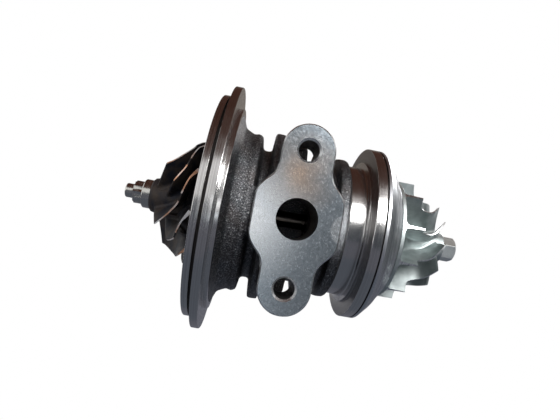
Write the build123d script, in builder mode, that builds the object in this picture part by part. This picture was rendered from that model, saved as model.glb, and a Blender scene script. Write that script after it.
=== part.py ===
from build123d import *
import math
import os

# Turbo cartridge: the bearing housing of a small turbocharger with its rotor, bushes and seals.
# X runs along the shaft to the compressor, -Y looks out of the oil drain, Z is up.
# The origin is on the shaft axis, on the seat face of the turbine flange. Sizes are in mm.
# Clock angles are measured round the shaft from the drain side (-Y) towards the top (+Z).

# Turbine end of the housing
pilot_radius = 49.4
pilot_length = 4.4
pilot_chamfer = 0.5
relief_width = 1.3
relief_depth = 1.2
relief_face_depth = 0.3
relief_face_width = 0.4
turbine_flange_radius = 53.8
turbine_flange_thickness = 3.2
turbine_flange_chamfer = 0.4
flange_step_radius = 45.0
flange_step_thickness = 1.8
throat_length = 1.9
throat_end_radius = 37.3

# Cast body between the flanges, as (distance from its start, radius)
body_length = 8.2
body_ridges = [(1.6, 36.3), (4.1, 35.3), (6.2, 35.9)]
body_end_radius = 34.7
body_end_round = 0.6
body_wall_slope = 1.0
first_groove_radius = 29.0
fin_count = 4
first_fin_x = 22.7
fin_pitch = 9.65
first_fin_radius = 37.6
fin_radius_step = 1.95
fin_crest_width = 4.0
fin_root_width = 5.2
fin_crest_round = 1.5
groove_radius = 27.5
groove_round = 1.0
neck_radius = 29.5
neck_round = 0.8

# Compressor flange
compressor_step_radius = 32.35
compressor_step_x = 61.3
compressor_flange_x = 62.4
compressor_flange_radius = 38.7
compressor_flange_thickness = 4.2
compressor_flange_chamfer = 0.4

# Oil drain pad and its two bolt ears
drain_face_distance = 38.0
drain_face_chamfer = 0.5
drain_hole_radius = 7.94
drain_x = 33.0
drain_pad_radius = 19.1
drain_pad_width = 34.2
drain_pad_round = 8.0
drain_pad_depth = 26.0
ear_spacing = 52.4
ear_radius = 10.25
ear_depth = 17.5
ear_waist_round = 8.0
bolt_hole_radius = 4.0
bolt_hole_chamfer = 0.75
bolt_hole_depth = 19.5

# Oil inlet boss on the far side
inlet_boss_radius = 10.0
inlet_boss_depth = 20.0
inlet_face_distance = 36.0
inlet_hole_radius = 5.2
inlet_hole_depth = 14.0
inlet_chamfer = 0.8
gallery_radius = 2.0
oil_feed_radius = 1.25
oil_feed_start = 14.0

# Hollows of the housing
shield_pocket_radius = 44.0
shield_pocket_x = -1.6
nose_base_radius = 30.0
nose_top_radius = 14.0
nose_x = -3.0
seal_bore_radius = 8.15
slinger_chamber_x = 5.5
slinger_chamber_radius = 12.0
bearing_bore_x = 10.8
cavity_x = 24.4
cavity_length = 16.6
cavity_height = 34.0
cavity_low_y = -18.0
cavity_high_y = 6.0
cavity_round = 4.0
slinger_link_radius = 1.8
slinger_link_y = -9.8
thrust_link_radius = 3.4
thrust_link_y = -14.5
thrust_seat_x = 52.8
thrust_chamber_radius = 22.0
spigot_bore_x = 59.6
spigot_bore_radius = 24.0
cut_margin = 1.0

# Floating bushes and their clips
journal_radius = 4.0
bush_running_gap = 0.03
bush_radius = 6.45
bush_bore_gap = 0.05
bush_length = 6.2
bush_end_gap = 0.2
bush_oil_hole_radius = 0.8
bush_oil_holes = 6
bush_chamfer = 0.3
clip_thickness = 0.8
clip_inner_radius = 5.6
clip_outer_radius = 7.15
clip_fit = 0.05
clip_opening = 40.0
turbine_bush_x = 12.8
compressor_bush_x = 42.5

# Rotor shaft
weld_x = -7.2
shaft_hub_radius = 8.0
shaft_hub_end = 5.0
shaft_hub_chamfer = 0.6
shaft_throat = 1.2
seal_groove_x = 0.6
seal_groove_width = 1.8
seal_groove_radius = 6.3
journal_overhang = 2.4
shaft_relief_radius = 3.7
shaft_relief_slope = 0.6
shaft_shoulder_x = 50.8
stub_radius = 3.0
stub_chamfer = 0.5
stub_fit = 0.02

# Piston-ring seals
ring_width = 1.6
ring_depth = 1.4
ring_fit = 0.02
ring_back_gap = 0.4
ring_gap_angle = 4.0

# Thrust bearing, collar, flinger and deflector
thrust_plate_thickness = 4.0
thrust_plate_radius = 15.0
thrust_plate_cut = 10.6
thrust_play = 0.1
collar_flange_radius = 9.5
collar_neck_radius = 6.4
thrust_bore_gap = 0.1
collar_pocket_gap = 0.5
thrust_pin_radius = 1.25
thrust_pin_circle = 12.4
thrust_pin_length = 7.0
pin_fit = 0.02
flinger_lip_thickness = 1.6
flinger_disc_radius = 12.0
flinger_disc_x = 61.2
flinger_disc_thickness = 1.4
flinger_hub_radius = 7.2
flinger_groove_x = 66.6
deflector_thickness = 0.8
deflector_hole_radius = 10.3
deflector_flat_radius = 14.2
deflector_cone_radius = 15.0

# Backplate behind the compressor wheel
lip_length = 1.4
lip_chamfer = 0.3
cone_shoulder_x = 71.5
cone_shoulder_radius = 35.2
cone_waist_x = 73.8
cone_waist_radius = 31.9
cone_end_x = 76.8
cone_end_radius = 27.8
wheel_side_gap = 0.5
plate_bore_gap = 0.1
spigot_fit = 0.05
spigot_inner_radius = 15.2
plate_recess_x = 65.0
plate_hub_radius = 11.5
plate_hub_x = 63.6
o_ring_radius = 0.85
o_ring_groove_width = 2.2
o_ring_groove_x = 62.6
screw_count = 3
screw_circle = 18.8
screw_radius = 2.0
screw_fit = 0.06
screw_head_radius = 4.0
screw_head_x = 73.2
screw_tip_x = 54.8
screw_tip_gap = 1.0
screw_boss_radius = 3.6
screw_first_angle = 60.0
screw_socket_width = 2.5
screw_socket_depth = 1.4

# Both wheels: how deep the blades start in the hub, and how far behind the tips of the disc
blade_core_radius = 4.0
blade_back_step = 0.3

# Compressor wheel, whose lines are given from the back of the disc rim
wheel_back_boss_x = 72.2
wheel_back_boss_radius = 8.0
disc_rim_x = 77.3
disc_rim_thickness = 1.5
compressor_wheel_radius = 27.0
compressor_tip_x = 86.8
inducer_radius = 19.5
inducer_x = 99.5
inducer_root_x = 101.5
compressor_hub_radius = 7.2
compressor_hub_end = 105.0
compressor_blades = 11
compressor_blade_angle = 12.5
compressor_blade_tip = 0.9
compressor_blade_root = 2.0
# Shroud line of the blades and line of the hub, as (distance, radius)
compressor_shroud_line = [(9.9, 24.2), (10.7, 22.0), (12.3, 20.8), (14.7, 20.0), (17.7, inducer_radius)]
compressor_hub_line = [(3.1, 20.5), (5.7, 14.8), (10.2, 10.8), (16.7, 8.6)]
# Bend of the blades, as (distance, clock angle from the tip)
compressor_blade_line = [
    (-1.0, 0.0),
    (3.2, 0.0),
    (7.2, 0.0),
    (11.2, 0.0),
    (14.7, 0.4),
    (17.2, 3.5),
    (19.1, 9.5),
    (20.7, 16.5),
    (22.2, 23.0),
    (24.7, 34.0),
]

# Compressor nut
nut_across_flats = 10.0
nut_angle = 12.0
nut_length = 6.8
nut_base_chamfer = 0.6
nut_end_chamfer = 0.8
nut_chamfer_radius = 4.9
thread_end_recess = 0.6

# Turbine wheel, whose lines are given from the back of the disc
turbine_wheel_radius = 28.0
turbine_back_gap = 0.6
turbine_disc_radius = 21.5
turbine_disc_thickness = 1.6
turbine_tip_x = -10.5
exducer_radius = 21.8
long_blade_x = -22.3
short_blade_x = -17.4
blade_root_sweep = 3.6
turbine_hub_radius = 7.6
turbine_hub_end = -29.4
turbine_hub_chamfer = 0.8
turbine_blade_pairs = 5
turbine_blade_tip = 0.9
turbine_blade_root = 2.2
nose_journal_radius = 6.5
nose_journal_length = 3.6
nose_journal_chamfer = 0.4
nose_drive_radius = 5.1
nose_drive_length = 4.2
nose_drive_points = 12
nose_stub_radius = 3.2
nose_stub_length = 4.0
nose_stub_chamfer = 0.8
# Shroud line of the blades and line of the hub, as (distance, radius)
turbine_shroud_line = [(4.8, 26.8), (6.8, 24.8), (9.0, 23.3), (12.8, exducer_radius)]
turbine_hub_line = [(3.4, 17.5), (6.4, 13.2), (10.4, 10.4), (15.2, 8.8)]
# Bend of the blades, as (distance, clock angle)
turbine_blade_line = [
    (-0.4, 28.5),
    (1.4, 23.0),
    (3.3, 16.5),
    (5.2, 4.5),
    (7.0, -6.5),
    (9.0, -14.0),
    (12.8, -26.8),
    (16.3, -37.0),
    (19.8, -46.0),
]

# Heat shield between the turbine wheel and the housing
shield_thickness = 1.0
shield_rim_radius = 43.6
shield_bend_radius = 37.0
shield_face_radius = 33.0
shield_bend_offset = 0.4
shield_hole_radius = 10.5


# Derived places
flange_step_end = turbine_flange_thickness + flange_step_thickness
body_start = flange_step_end + throat_length
body_end = body_start + body_length
compressor_face_x = compressor_flange_x + compressor_flange_thickness
bearing_bore_radius = bush_radius + bush_bore_gap
clip_groove_radius = clip_outer_radius + clip_fit
turbine_bush_end = turbine_bush_x + bush_length
compressor_bush_end = compressor_bush_x + bush_length
thrust_plate_end = thrust_seat_x + thrust_plate_thickness
collar_end = thrust_plate_end + thrust_play
plate_bore_radius = flinger_hub_radius + plate_bore_gap
shield_face_x = weld_x + turbine_back_gap
disc_front_x = disc_rim_x + disc_rim_thickness
nut_end = compressor_hub_end + nut_length
nut_reach = nut_across_flats / math.sqrt(3) + nut_end_chamfer / 4
shaft_end = nut_end - thread_end_recess
nose_drive_x = turbine_hub_end - nose_journal_length - nose_drive_length
nose_end = nose_drive_x - nose_stub_length


# Turns a closed outline of (x, radius) points round the shaft axis, with some corners rounded
def turned(outline, rounds=(), mode=Mode.ADD, arc=360):
    with BuildSketch(Plane.XY) as profile:
        with BuildLine():
            Polyline(*outline, close=True)
        make_face()
        for x, radius, size in rounds:
            fillet(profile.vertices().sort_by_distance((x, radius, 0))[0], size)
    revolve(profile.sketch, axis=Axis.X, revolution_arc=arc, mode=mode)


# A plain turned ring from x to x + length
def ring(x, length, inner, outer, mode=Mode.ADD, arc=360):
    outline = [(x, inner), (x, outer), (x + length, outer), (x + length, inner)]
    turned(outline, mode=mode, arc=arc)


# Round bars or holes along the shaft at several places, from x to x + length
def bars(x, length, radius, places, mode=Mode.ADD):
    with BuildSketch(Plane.YZ.offset(x)) as circles:
        with Locations(*places):
            Circle(radius)
    extrude(circles.sketch, amount=length, mode=mode)


# A point at a clock angle in a plane across the shaft, as (y, z)
def clock(radius, angle):
    turn = math.radians(angle)
    return (-radius * math.cos(turn), radius * math.sin(turn))


# The middle of the drain pad, drawn in a sketch: a round boss with a flat on each side
def pad_middle(sketch):
    with Locations((drain_x, 0)):
        Circle(drain_pad_radius)
        Rectangle(drain_pad_width, 2 * drain_pad_radius, mode=Mode.INTERSECT)
    fillet(sketch.vertices(), drain_pad_round)


# The thin wedge where a blade crosses the plane at x, from inside the hub to beyond its tip
def blade_section(x, angle, inner, outer, root, tip):
    turn = math.radians(angle)
    corners = []
    for radius, half in ((inner, root / 2), (outer, tip / 2), (outer, -tip / 2), (inner, -root / 2)):
        y, z = clock(radius, angle)
        corners.append((y + half * math.sin(turn), z + half * math.cos(turn)))
    with BuildSketch(Plane.XY.offset(x)) as section:
        with BuildLine():
            Polyline(*corners, close=True)
        make_face()
    return section.sketch


# A blade through stations of (x, clock angle), cut to a turned outline of (radius, x) points
def wheel_blade(stations, inner, outer, root, tip, outline):
    with BuildPart() as blade:
        loft([blade_section(x, angle, inner, outer, root, tip) for x, angle in stations])
        with BuildSketch(Plane.XZ) as limits:
            with BuildLine():
                Polyline(*outline, close=True)
            make_face()
        revolve(limits.sketch, axis=Axis.Z, mode=Mode.INTERSECT)
    return blade.part


# Bearing housing
screw_places = []
for index in range(screw_count):
    screw_places.append(clock(screw_circle, screw_first_angle + index * 360 / screw_count))
pin_places = [clock(thrust_pin_circle, 90), clock(thrust_pin_circle, -90)]

housing_outline = [
    (-pilot_length, 0),
    (-pilot_length, pilot_radius - pilot_chamfer),
    (-pilot_length + pilot_chamfer, pilot_radius),
    (-relief_width, pilot_radius),
    (-relief_width, pilot_radius - relief_depth),
    (relief_face_depth, pilot_radius - relief_depth),
    (relief_face_depth, pilot_radius + relief_face_width),
    (0, pilot_radius + relief_face_width),
    (0, turbine_flange_radius),
    (turbine_flange_thickness - turbine_flange_chamfer, turbine_flange_radius),
    (turbine_flange_thickness, turbine_flange_radius - turbine_flange_chamfer),
    (turbine_flange_thickness, flange_step_radius),
    (flange_step_end, flange_step_radius),
    (body_start, throat_end_radius),
]
housing_outline += [(body_start + distance, radius) for distance, radius in body_ridges]
housing_outline += [
    (body_end, body_end_radius),
    (body_end + body_wall_slope, first_groove_radius),
]
housing_rounds = [
    (body_end, body_end_radius, body_end_round),
    (body_end + body_wall_slope, first_groove_radius, groove_round),
]
floors = [first_groove_radius] + [groove_radius] * (fin_count - 1) + [neck_radius]
for index in range(fin_count):
    x = first_fin_x + index * fin_pitch
    crest_radius = first_fin_radius - index * fin_radius_step
    fin = [
        (x - fin_root_width / 2, floors[index]),
        (x - fin_crest_width / 2, crest_radius),
        (x + fin_crest_width / 2, crest_radius),
        (x + fin_root_width / 2, floors[index + 1]),
    ]
    housing_outline += fin
    for point, size in zip(fin, (groove_round, fin_crest_round, fin_crest_round, groove_round)):
        housing_rounds.append((point[0], point[1], size))
housing_outline += [
    (compressor_step_x, neck_radius),
    (compressor_step_x, compressor_step_radius),
    (compressor_flange_x, compressor_step_radius),
    (compressor_flange_x, compressor_flange_radius - compressor_flange_chamfer),
    (compressor_flange_x + compressor_flange_chamfer, compressor_flange_radius),
    (compressor_face_x - lip_chamfer, compressor_flange_radius),
    (compressor_face_x, compressor_flange_radius - lip_chamfer),
    (compressor_face_x, 0),
]
housing_rounds.append((compressor_step_x, neck_radius, neck_round))

with BuildPart() as bearing_housing:
    turned(housing_outline, housing_rounds)

    # Drain pad and its two ears, with the pad reaching into the body
    waist_height = math.sqrt(drain_pad_radius**2 - ear_radius**2)
    with BuildSketch(Plane.XZ.offset(drain_face_distance)) as ears:
        pad_middle(ears)
        with Locations((drain_x, 0)):
            Rectangle(2 * ear_radius, ear_spacing)
            with Locations((0, ear_spacing / 2), (0, -ear_spacing / 2)):
                Circle(ear_radius)
        waist = []
        for side in (-1, 1):
            for end in (-1, 1):
                corner = (drain_x + side * ear_radius, end * waist_height, 0)
                waist.append(ears.vertices().sort_by_distance(corner)[0])
        fillet(waist, ear_waist_round)
    extrude(amount=-ear_depth)
    with BuildSketch(Plane.XZ.offset(drain_face_distance)) as pad:
        pad_middle(pad)
    extrude(amount=-drain_pad_depth)
    face_y = -drain_face_distance
    chamfer(bearing_housing.edges().filter_by_position(Axis.Y, face_y, face_y), drain_face_chamfer)

    # Oil inlet boss
    with BuildSketch(Plane.ZX.offset(inlet_face_distance)):
        with Locations((0, drain_x)):
            Circle(inlet_boss_radius)
    extrude(amount=-inlet_boss_depth)

    # Pocket for the heat shield, with the nose that carries the seal bore
    turned(
        [
            (-pilot_length, 0),
            (-pilot_length, shield_pocket_radius),
            (shield_pocket_x, shield_pocket_radius),
            (shield_pocket_x, nose_base_radius),
            (nose_x, nose_top_radius),
            (nose_x, 0),
        ],
        mode=Mode.SUBTRACT,
    )

    # Bores along the shaft, from the turbine side
    ring(nose_x, slinger_chamber_x - nose_x, 0, seal_bore_radius, mode=Mode.SUBTRACT)
    slinger_length = bearing_bore_x - slinger_chamber_x
    ring(slinger_chamber_x, slinger_length, 0, slinger_chamber_radius, mode=Mode.SUBTRACT)
    ring(bearing_bore_x, thrust_seat_x - bearing_bore_x, 0, bearing_bore_radius, mode=Mode.SUBTRACT)
    for x in (turbine_bush_x, compressor_bush_x):
        for groove in (x - bush_end_gap - clip_thickness, x + bush_length + bush_end_gap):
            ring(groove - clip_fit, clip_thickness + 2 * clip_fit, 0, clip_groove_radius, mode=Mode.SUBTRACT)
    collar_pocket_x = shaft_shoulder_x - collar_pocket_gap
    ring(
        collar_pocket_x,
        thrust_seat_x - collar_pocket_x,
        0,
        collar_flange_radius + collar_pocket_gap,
        mode=Mode.SUBTRACT,
    )
    ring(thrust_seat_x, spigot_bore_x - thrust_seat_x, 0, thrust_chamber_radius, mode=Mode.SUBTRACT)
    ring(spigot_bore_x, compressor_face_x - spigot_bore_x, 0, spigot_bore_radius, mode=Mode.SUBTRACT)

    # Bosses in the thrust chamber for the backplate screws
    bars(thrust_seat_x, spigot_bore_x - thrust_seat_x, screw_boss_radius, screw_places)

    # Drain cavity round the shaft and the drain hole
    with BuildSketch(Plane.XZ.offset(-cavity_low_y)):
        with Locations((cavity_x + cavity_length / 2, 0)):
            RectangleRounded(cavity_length, cavity_height, cavity_round)
    extrude(amount=-(cavity_high_y - cavity_low_y), mode=Mode.SUBTRACT)
    with BuildSketch(Plane.XZ.offset(drain_face_distance)):
        with Locations((drain_x, 0)):
            Circle(drain_hole_radius)
    extrude(amount=-(drain_face_distance + cavity_low_y + cut_margin), mode=Mode.SUBTRACT)

    # Oil ways from the slinger chamber and the thrust chamber into the cavity
    slinger_link_length = cavity_x + cut_margin - slinger_chamber_x
    bars(slinger_chamber_x, slinger_link_length, slinger_link_radius, [(slinger_link_y, 0)], Mode.SUBTRACT)
    thrust_link_x = cavity_x + cavity_length - cut_margin
    thrust_link_length = thrust_seat_x - thrust_link_x
    bars(thrust_link_x, thrust_link_length, thrust_link_radius, [(thrust_link_y, 0)], Mode.SUBTRACT)

    # Bolt holes of the drain pad
    with Locations(Plane.XZ.offset(drain_face_distance)):
        with Locations((drain_x, ear_spacing / 2), (drain_x, -ear_spacing / 2)):
            CounterSinkHole(bolt_hole_radius, bolt_hole_radius + bolt_hole_chamfer, bolt_hole_depth, 90)

    # Oil inlet thread, gallery and the slanted feeds to the two bushes
    with Locations(Plane.ZX.offset(inlet_face_distance)):
        with Locations((0, drain_x)):
            CounterSinkHole(inlet_hole_radius, inlet_hole_radius + inlet_chamfer, inlet_hole_depth, 90)
            Hole(gallery_radius, inlet_face_distance - oil_feed_start + gallery_radius)
    for bush_x in (turbine_bush_x, compressor_bush_x):
        start = Vector(drain_x, oil_feed_start, 0)
        finish = Vector(bush_x + bush_length / 2, bush_radius - cut_margin, 0)
        with BuildSketch(Plane(origin=start, z_dir=finish - start)):
            Circle(oil_feed_radius)
        extrude(amount=(finish - start).length, mode=Mode.SUBTRACT)

    # Tapped holes for the backplate screws, and the holes of the thrust pins
    screw_hole_x = screw_tip_x - screw_tip_gap
    bars(screw_hole_x, spigot_bore_x - screw_hole_x, screw_radius + screw_fit, screw_places, Mode.SUBTRACT)
    bars(
        thrust_seat_x - thrust_pin_length / 2,
        thrust_pin_length / 2,
        thrust_pin_radius + pin_fit,
        pin_places,
        Mode.SUBTRACT,
    )
bearing_housing.part.label = "bearing_housing"


# Heat shield, a thin dished pressing seated in the pilot
with BuildPart() as heat_shield:
    turned(
        [
            (shield_pocket_x, shield_rim_radius),
            (shield_pocket_x, shield_bend_radius),
            (shield_face_x + shield_thickness, shield_face_radius),
            (shield_face_x + shield_thickness, shield_hole_radius),
            (shield_face_x, shield_hole_radius),
            (shield_face_x, shield_face_radius + shield_bend_offset),
            (shield_pocket_x - shield_thickness, shield_bend_radius + shield_bend_offset),
            (shield_pocket_x - shield_thickness, shield_rim_radius),
        ]
    )
heat_shield.part.label = "heat_shield"


# Turbine wheel: hub, ten blades in long and short pairs, and the nose with its driving flats
turbine_blades = []
for trailing_x in (long_blade_x, short_blade_x):
    blade_outline = [
        (blade_core_radius, weld_x),
        (turbine_wheel_radius, weld_x - blade_back_step),
        (turbine_wheel_radius, turbine_tip_x),
    ]
    for distance, radius in turbine_shroud_line:
        if weld_x - distance > trailing_x:
            blade_outline.append((radius, weld_x - distance))
    blade_outline += [
        (exducer_radius, trailing_x),
        (blade_core_radius, trailing_x - blade_root_sweep),
    ]
    turbine_blades.append(
        wheel_blade(
            [(weld_x - distance, angle) for distance, angle in turbine_blade_line],
            blade_core_radius - cut_margin,
            turbine_wheel_radius + cut_margin,
            turbine_blade_root,
            turbine_blade_tip,
            blade_outline,
        )
    )

with BuildPart(Plane.YZ) as turbine_wheel:
    with BuildSketch(Plane.XY) as turbine_hub:
        with BuildLine():
            rim_corner = (weld_x - turbine_disc_thickness, turbine_disc_radius)
            hub_corner = (turbine_hub_end + turbine_hub_chamfer, turbine_hub_radius)
            hub_edge = (turbine_hub_end, turbine_hub_radius - turbine_hub_chamfer)
            nose_shoulder_x = nose_drive_x + nose_drive_length
            Polyline(
                hub_edge,
                (turbine_hub_end, nose_journal_radius),
                (nose_shoulder_x + nose_journal_chamfer, nose_journal_radius),
                (nose_shoulder_x, nose_journal_radius - nose_journal_chamfer),
                (nose_shoulder_x, nose_stub_radius),
                (nose_end + nose_stub_chamfer, nose_stub_radius),
                (nose_end, nose_stub_radius - nose_stub_chamfer),
                (nose_end, 0),
                (weld_x, 0),
                (weld_x, turbine_disc_radius),
                rim_corner,
            )
            hub_points = [(weld_x - distance, radius) for distance, radius in turbine_hub_line]
            Spline(rim_corner, *hub_points, hub_corner)
            Line(hub_corner, hub_edge)
        make_face()
    revolve(turbine_hub.sketch, axis=Axis.X)
    pair_angle = 360 / turbine_blade_pairs
    with PolarLocations(0, turbine_blade_pairs):
        add(turbine_blades[0])
    with PolarLocations(0, turbine_blade_pairs, start_angle=pair_angle / 2):
        add(turbine_blades[1])
    with BuildSketch(Plane.YZ.offset(nose_drive_x)) as drive:
        RegularPolygon(nose_drive_radius, nose_drive_points // 2)
        RegularPolygon(nose_drive_radius, nose_drive_points // 2, rotation=360 / nose_drive_points)
    extrude(drive.sketch, amount=nose_drive_length)
turbine_wheel.part.label = "turbine_wheel"


# Rotor shaft: seal hub, two journals with a relief between them, and the stub for the compressor
relief_start = turbine_bush_end + journal_overhang
relief_end = compressor_bush_x - journal_overhang
with BuildPart() as rotor_shaft:
    turned(
        [
            (weld_x, 0),
            (weld_x, shaft_hub_radius),
            (shaft_hub_end - shaft_hub_chamfer, shaft_hub_radius),
            (shaft_hub_end, shaft_hub_radius - shaft_hub_chamfer),
            (shaft_hub_end, journal_radius + shaft_throat),
            (shaft_hub_end + shaft_throat, journal_radius),
            (relief_start, journal_radius),
            (relief_start + shaft_relief_slope, shaft_relief_radius),
            (relief_end - shaft_relief_slope, shaft_relief_radius),
            (relief_end, journal_radius),
            (shaft_shoulder_x, journal_radius),
            (shaft_shoulder_x, stub_radius),
            (shaft_end - stub_chamfer, stub_radius),
            (shaft_end, stub_radius - stub_chamfer),
            (shaft_end, 0),
        ]
    )
    seal_groove_top = shaft_hub_radius + cut_margin
    ring(seal_groove_x, seal_groove_width, seal_groove_radius, seal_groove_top, mode=Mode.SUBTRACT)
rotor_shaft.part.label = "rotor_shaft"


# Split piston rings, which sit still in their bores while the rotor turns inside them
def seal_ring(groove_x, bore_radius):
    outer = bore_radius - ring_fit
    x = groove_x + (seal_groove_width - ring_width) / 2
    ring(x, ring_width, outer - ring_depth, outer, arc=360 - ring_gap_angle)


with BuildPart() as turbine_seal_ring:
    seal_ring(seal_groove_x, seal_bore_radius)
turbine_seal_ring.part.label = "turbine_seal_ring"

with BuildPart() as compressor_seal_ring:
    seal_ring(flinger_groove_x, plate_bore_radius)
compressor_seal_ring.part.label = "compressor_seal_ring"


# Floating bush with cross-drilled oil holes
def bush(x):
    inner = journal_radius + bush_running_gap
    turned(
        [
            (x, inner + bush_chamfer),
            (x, bush_radius - bush_chamfer),
            (x + bush_chamfer, bush_radius),
            (x + bush_length - bush_chamfer, bush_radius),
            (x + bush_length, bush_radius - bush_chamfer),
            (x + bush_length, inner + bush_chamfer),
            (x + bush_length - bush_chamfer, inner),
            (x + bush_chamfer, inner),
        ]
    )
    drill_length = 2 * (bush_radius + cut_margin)
    with Locations((x + bush_length / 2, 0, 0)):
        for index in range(bush_oil_holes // 2):
            turn = 90 + index * 360 / bush_oil_holes
            Cylinder(bush_oil_hole_radius, drill_length, rotation=(turn, 0, 0), mode=Mode.SUBTRACT)


with BuildPart() as turbine_bush:
    bush(turbine_bush_x)
turbine_bush.part.label = "turbine_bush"

with BuildPart() as compressor_bush:
    bush(compressor_bush_x)
compressor_bush.part.label = "compressor_bush"


# Spring clips in the housing bore, one at each end of each bush
def clip(x):
    ring(x, clip_thickness, clip_inner_radius, clip_outer_radius, arc=360 - clip_opening)


with BuildPart() as turbine_bush_outer_clip:
    clip(turbine_bush_x - bush_end_gap - clip_thickness)
turbine_bush_outer_clip.part.label = "turbine_bush_outer_clip"

with BuildPart() as turbine_bush_inner_clip:
    clip(turbine_bush_end + bush_end_gap)
turbine_bush_inner_clip.part.label = "turbine_bush_inner_clip"

with BuildPart() as compressor_bush_inner_clip:
    clip(compressor_bush_x - bush_end_gap - clip_thickness)
compressor_bush_inner_clip.part.label = "compressor_bush_inner_clip"

with BuildPart() as compressor_bush_outer_clip:
    clip(compressor_bush_end + bush_end_gap)
compressor_bush_outer_clip.part.label = "compressor_bush_outer_clip"


# Thrust collar, which turns with the shaft against the thrust bearing
with BuildPart() as thrust_collar:
    turned(
        [
            (shaft_shoulder_x, stub_radius + stub_fit),
            (shaft_shoulder_x, collar_flange_radius),
            (thrust_seat_x - thrust_play, collar_flange_radius),
            (thrust_seat_x - thrust_play, collar_neck_radius),
            (collar_end, collar_neck_radius),
            (collar_end, stub_radius + stub_fit),
        ]
    )
thrust_collar.part.label = "thrust_collar"

# Thrust bearing, a bronze plate cut away at the drain side, held by two pins
with BuildPart() as thrust_bearing:
    ring(thrust_seat_x, thrust_plate_thickness, collar_neck_radius + thrust_bore_gap, thrust_plate_radius)
    bars(thrust_seat_x, thrust_plate_thickness, thrust_pin_radius + pin_fit, pin_places, Mode.SUBTRACT)
    with Locations((thrust_seat_x, -thrust_plate_cut, 0)):
        Box(
            thrust_plate_thickness,
            thrust_plate_radius,
            2 * thrust_plate_radius,
            align=(Align.MIN, Align.MAX, Align.CENTER),
            mode=Mode.SUBTRACT,
        )
thrust_bearing.part.label = "thrust_bearing"

with BuildPart() as thrust_pins:
    bars(thrust_seat_x - thrust_pin_length / 2, thrust_pin_length, thrust_pin_radius, pin_places)
thrust_pins.part.label = "thrust_pins"


# Oil flinger, the sleeve between the thrust collar and the compressor wheel
with BuildPart() as oil_flinger:
    lip_end = collar_end + flinger_lip_thickness
    turned(
        [
            (collar_end, stub_radius + stub_fit),
            (collar_end, collar_flange_radius),
            (lip_end, collar_flange_radius),
            (lip_end, flinger_hub_radius),
            (flinger_disc_x, flinger_hub_radius),
            (flinger_disc_x, flinger_disc_radius),
            (flinger_disc_x + flinger_disc_thickness, flinger_disc_radius),
            (flinger_disc_x + flinger_disc_thickness, flinger_hub_radius),
            (wheel_back_boss_x, flinger_hub_radius),
            (wheel_back_boss_x, stub_radius + stub_fit),
        ]
    )
    groove_floor = plate_bore_radius - ring_fit - ring_depth - ring_back_gap
    groove_top = flinger_hub_radius + cut_margin
    ring(flinger_groove_x, seal_groove_width, groove_floor, groove_top, mode=Mode.SUBTRACT)
oil_flinger.part.label = "oil_flinger"


# Oil deflector, a pressed sheet clamped by the spigot of the backplate
with BuildPart() as oil_deflector:
    turned(
        [
            (thrust_plate_end, deflector_hole_radius),
            (thrust_plate_end, deflector_flat_radius),
            (spigot_bore_x, deflector_cone_radius),
            (spigot_bore_x, spigot_bore_radius - spigot_fit),
            (spigot_bore_x + deflector_thickness, spigot_bore_radius - spigot_fit),
            (spigot_bore_x + deflector_thickness, deflector_cone_radius - deflector_thickness),
            (thrust_plate_end + deflector_thickness, deflector_flat_radius - deflector_thickness),
            (thrust_plate_end + deflector_thickness, deflector_hole_radius),
        ]
    )
    bars(spigot_bore_x, deflector_thickness, screw_radius + screw_fit, screw_places, Mode.SUBTRACT)
oil_deflector.part.label = "oil_deflector"


# Backplate, a turned plate with a spigot in the housing and a front that follows the wheel
pocket_x = wheel_back_boss_x - wheel_side_gap
spigot_x = spigot_bore_x + deflector_thickness
with BuildPart() as backplate:
    turned(
        [
            (spigot_x, spigot_inner_radius),
            (spigot_x, spigot_bore_radius - spigot_fit),
            (compressor_face_x, spigot_bore_radius - spigot_fit),
            (compressor_face_x, compressor_flange_radius - lip_chamfer),
            (compressor_face_x + lip_chamfer, compressor_flange_radius),
            (compressor_face_x + lip_length, compressor_flange_radius),
            (cone_shoulder_x, cone_shoulder_radius),
            (cone_waist_x, cone_waist_radius),
            (cone_end_x, cone_end_radius),
            (cone_end_x, compressor_wheel_radius),
            (pocket_x, wheel_back_boss_radius),
            (pocket_x, plate_bore_radius),
            (plate_hub_x, plate_bore_radius),
            (plate_hub_x, plate_hub_radius),
            (plate_recess_x, plate_hub_radius),
            (plate_recess_x, spigot_inner_radius),
        ]
    )
    ring(
        o_ring_groove_x,
        o_ring_groove_width,
        spigot_bore_radius - 2 * o_ring_radius,
        spigot_bore_radius + cut_margin,
        mode=Mode.SUBTRACT,
    )
    screw_hole_depth = screw_head_x - spigot_x + cut_margin
    with Locations(Plane.YZ.offset(screw_head_x)):
        with Locations(*screw_places):
            CounterSinkHole(screw_radius + screw_fit, screw_head_radius + screw_fit, screw_hole_depth, 90)
backplate.part.label = "backplate"

# O-ring of the backplate spigot
with BuildPart() as backplate_o_ring:
    with BuildSketch(Plane.XY) as section:
        with Locations((o_ring_groove_x + o_ring_groove_width / 2, spigot_bore_radius - o_ring_radius)):
            Circle(o_ring_radius)
    revolve(section.sketch, axis=Axis.X)
backplate_o_ring.part.label = "backplate_o_ring"

# Countersunk screws of the backplate, hidden behind the compressor wheel
with BuildPart() as backplate_screws:
    bars(screw_tip_x, screw_head_x - screw_tip_x, screw_radius, screw_places)
    head_depth = screw_head_radius - screw_radius
    with BuildSketch(Plane.YZ.offset(screw_head_x)) as head_tops:
        with Locations(*screw_places):
            Circle(screw_head_radius)
    extrude(head_tops.sketch, amount=-head_depth, taper=45)
    with BuildSketch(Plane.YZ.offset(screw_head_x)) as sockets:
        with Locations(*screw_places):
            RegularPolygon(screw_socket_width / 2, 6, major_radius=False)
    extrude(sockets.sketch, amount=-screw_socket_depth, mode=Mode.SUBTRACT)
backplate_screws.part.label = "backplate_screws"


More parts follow.
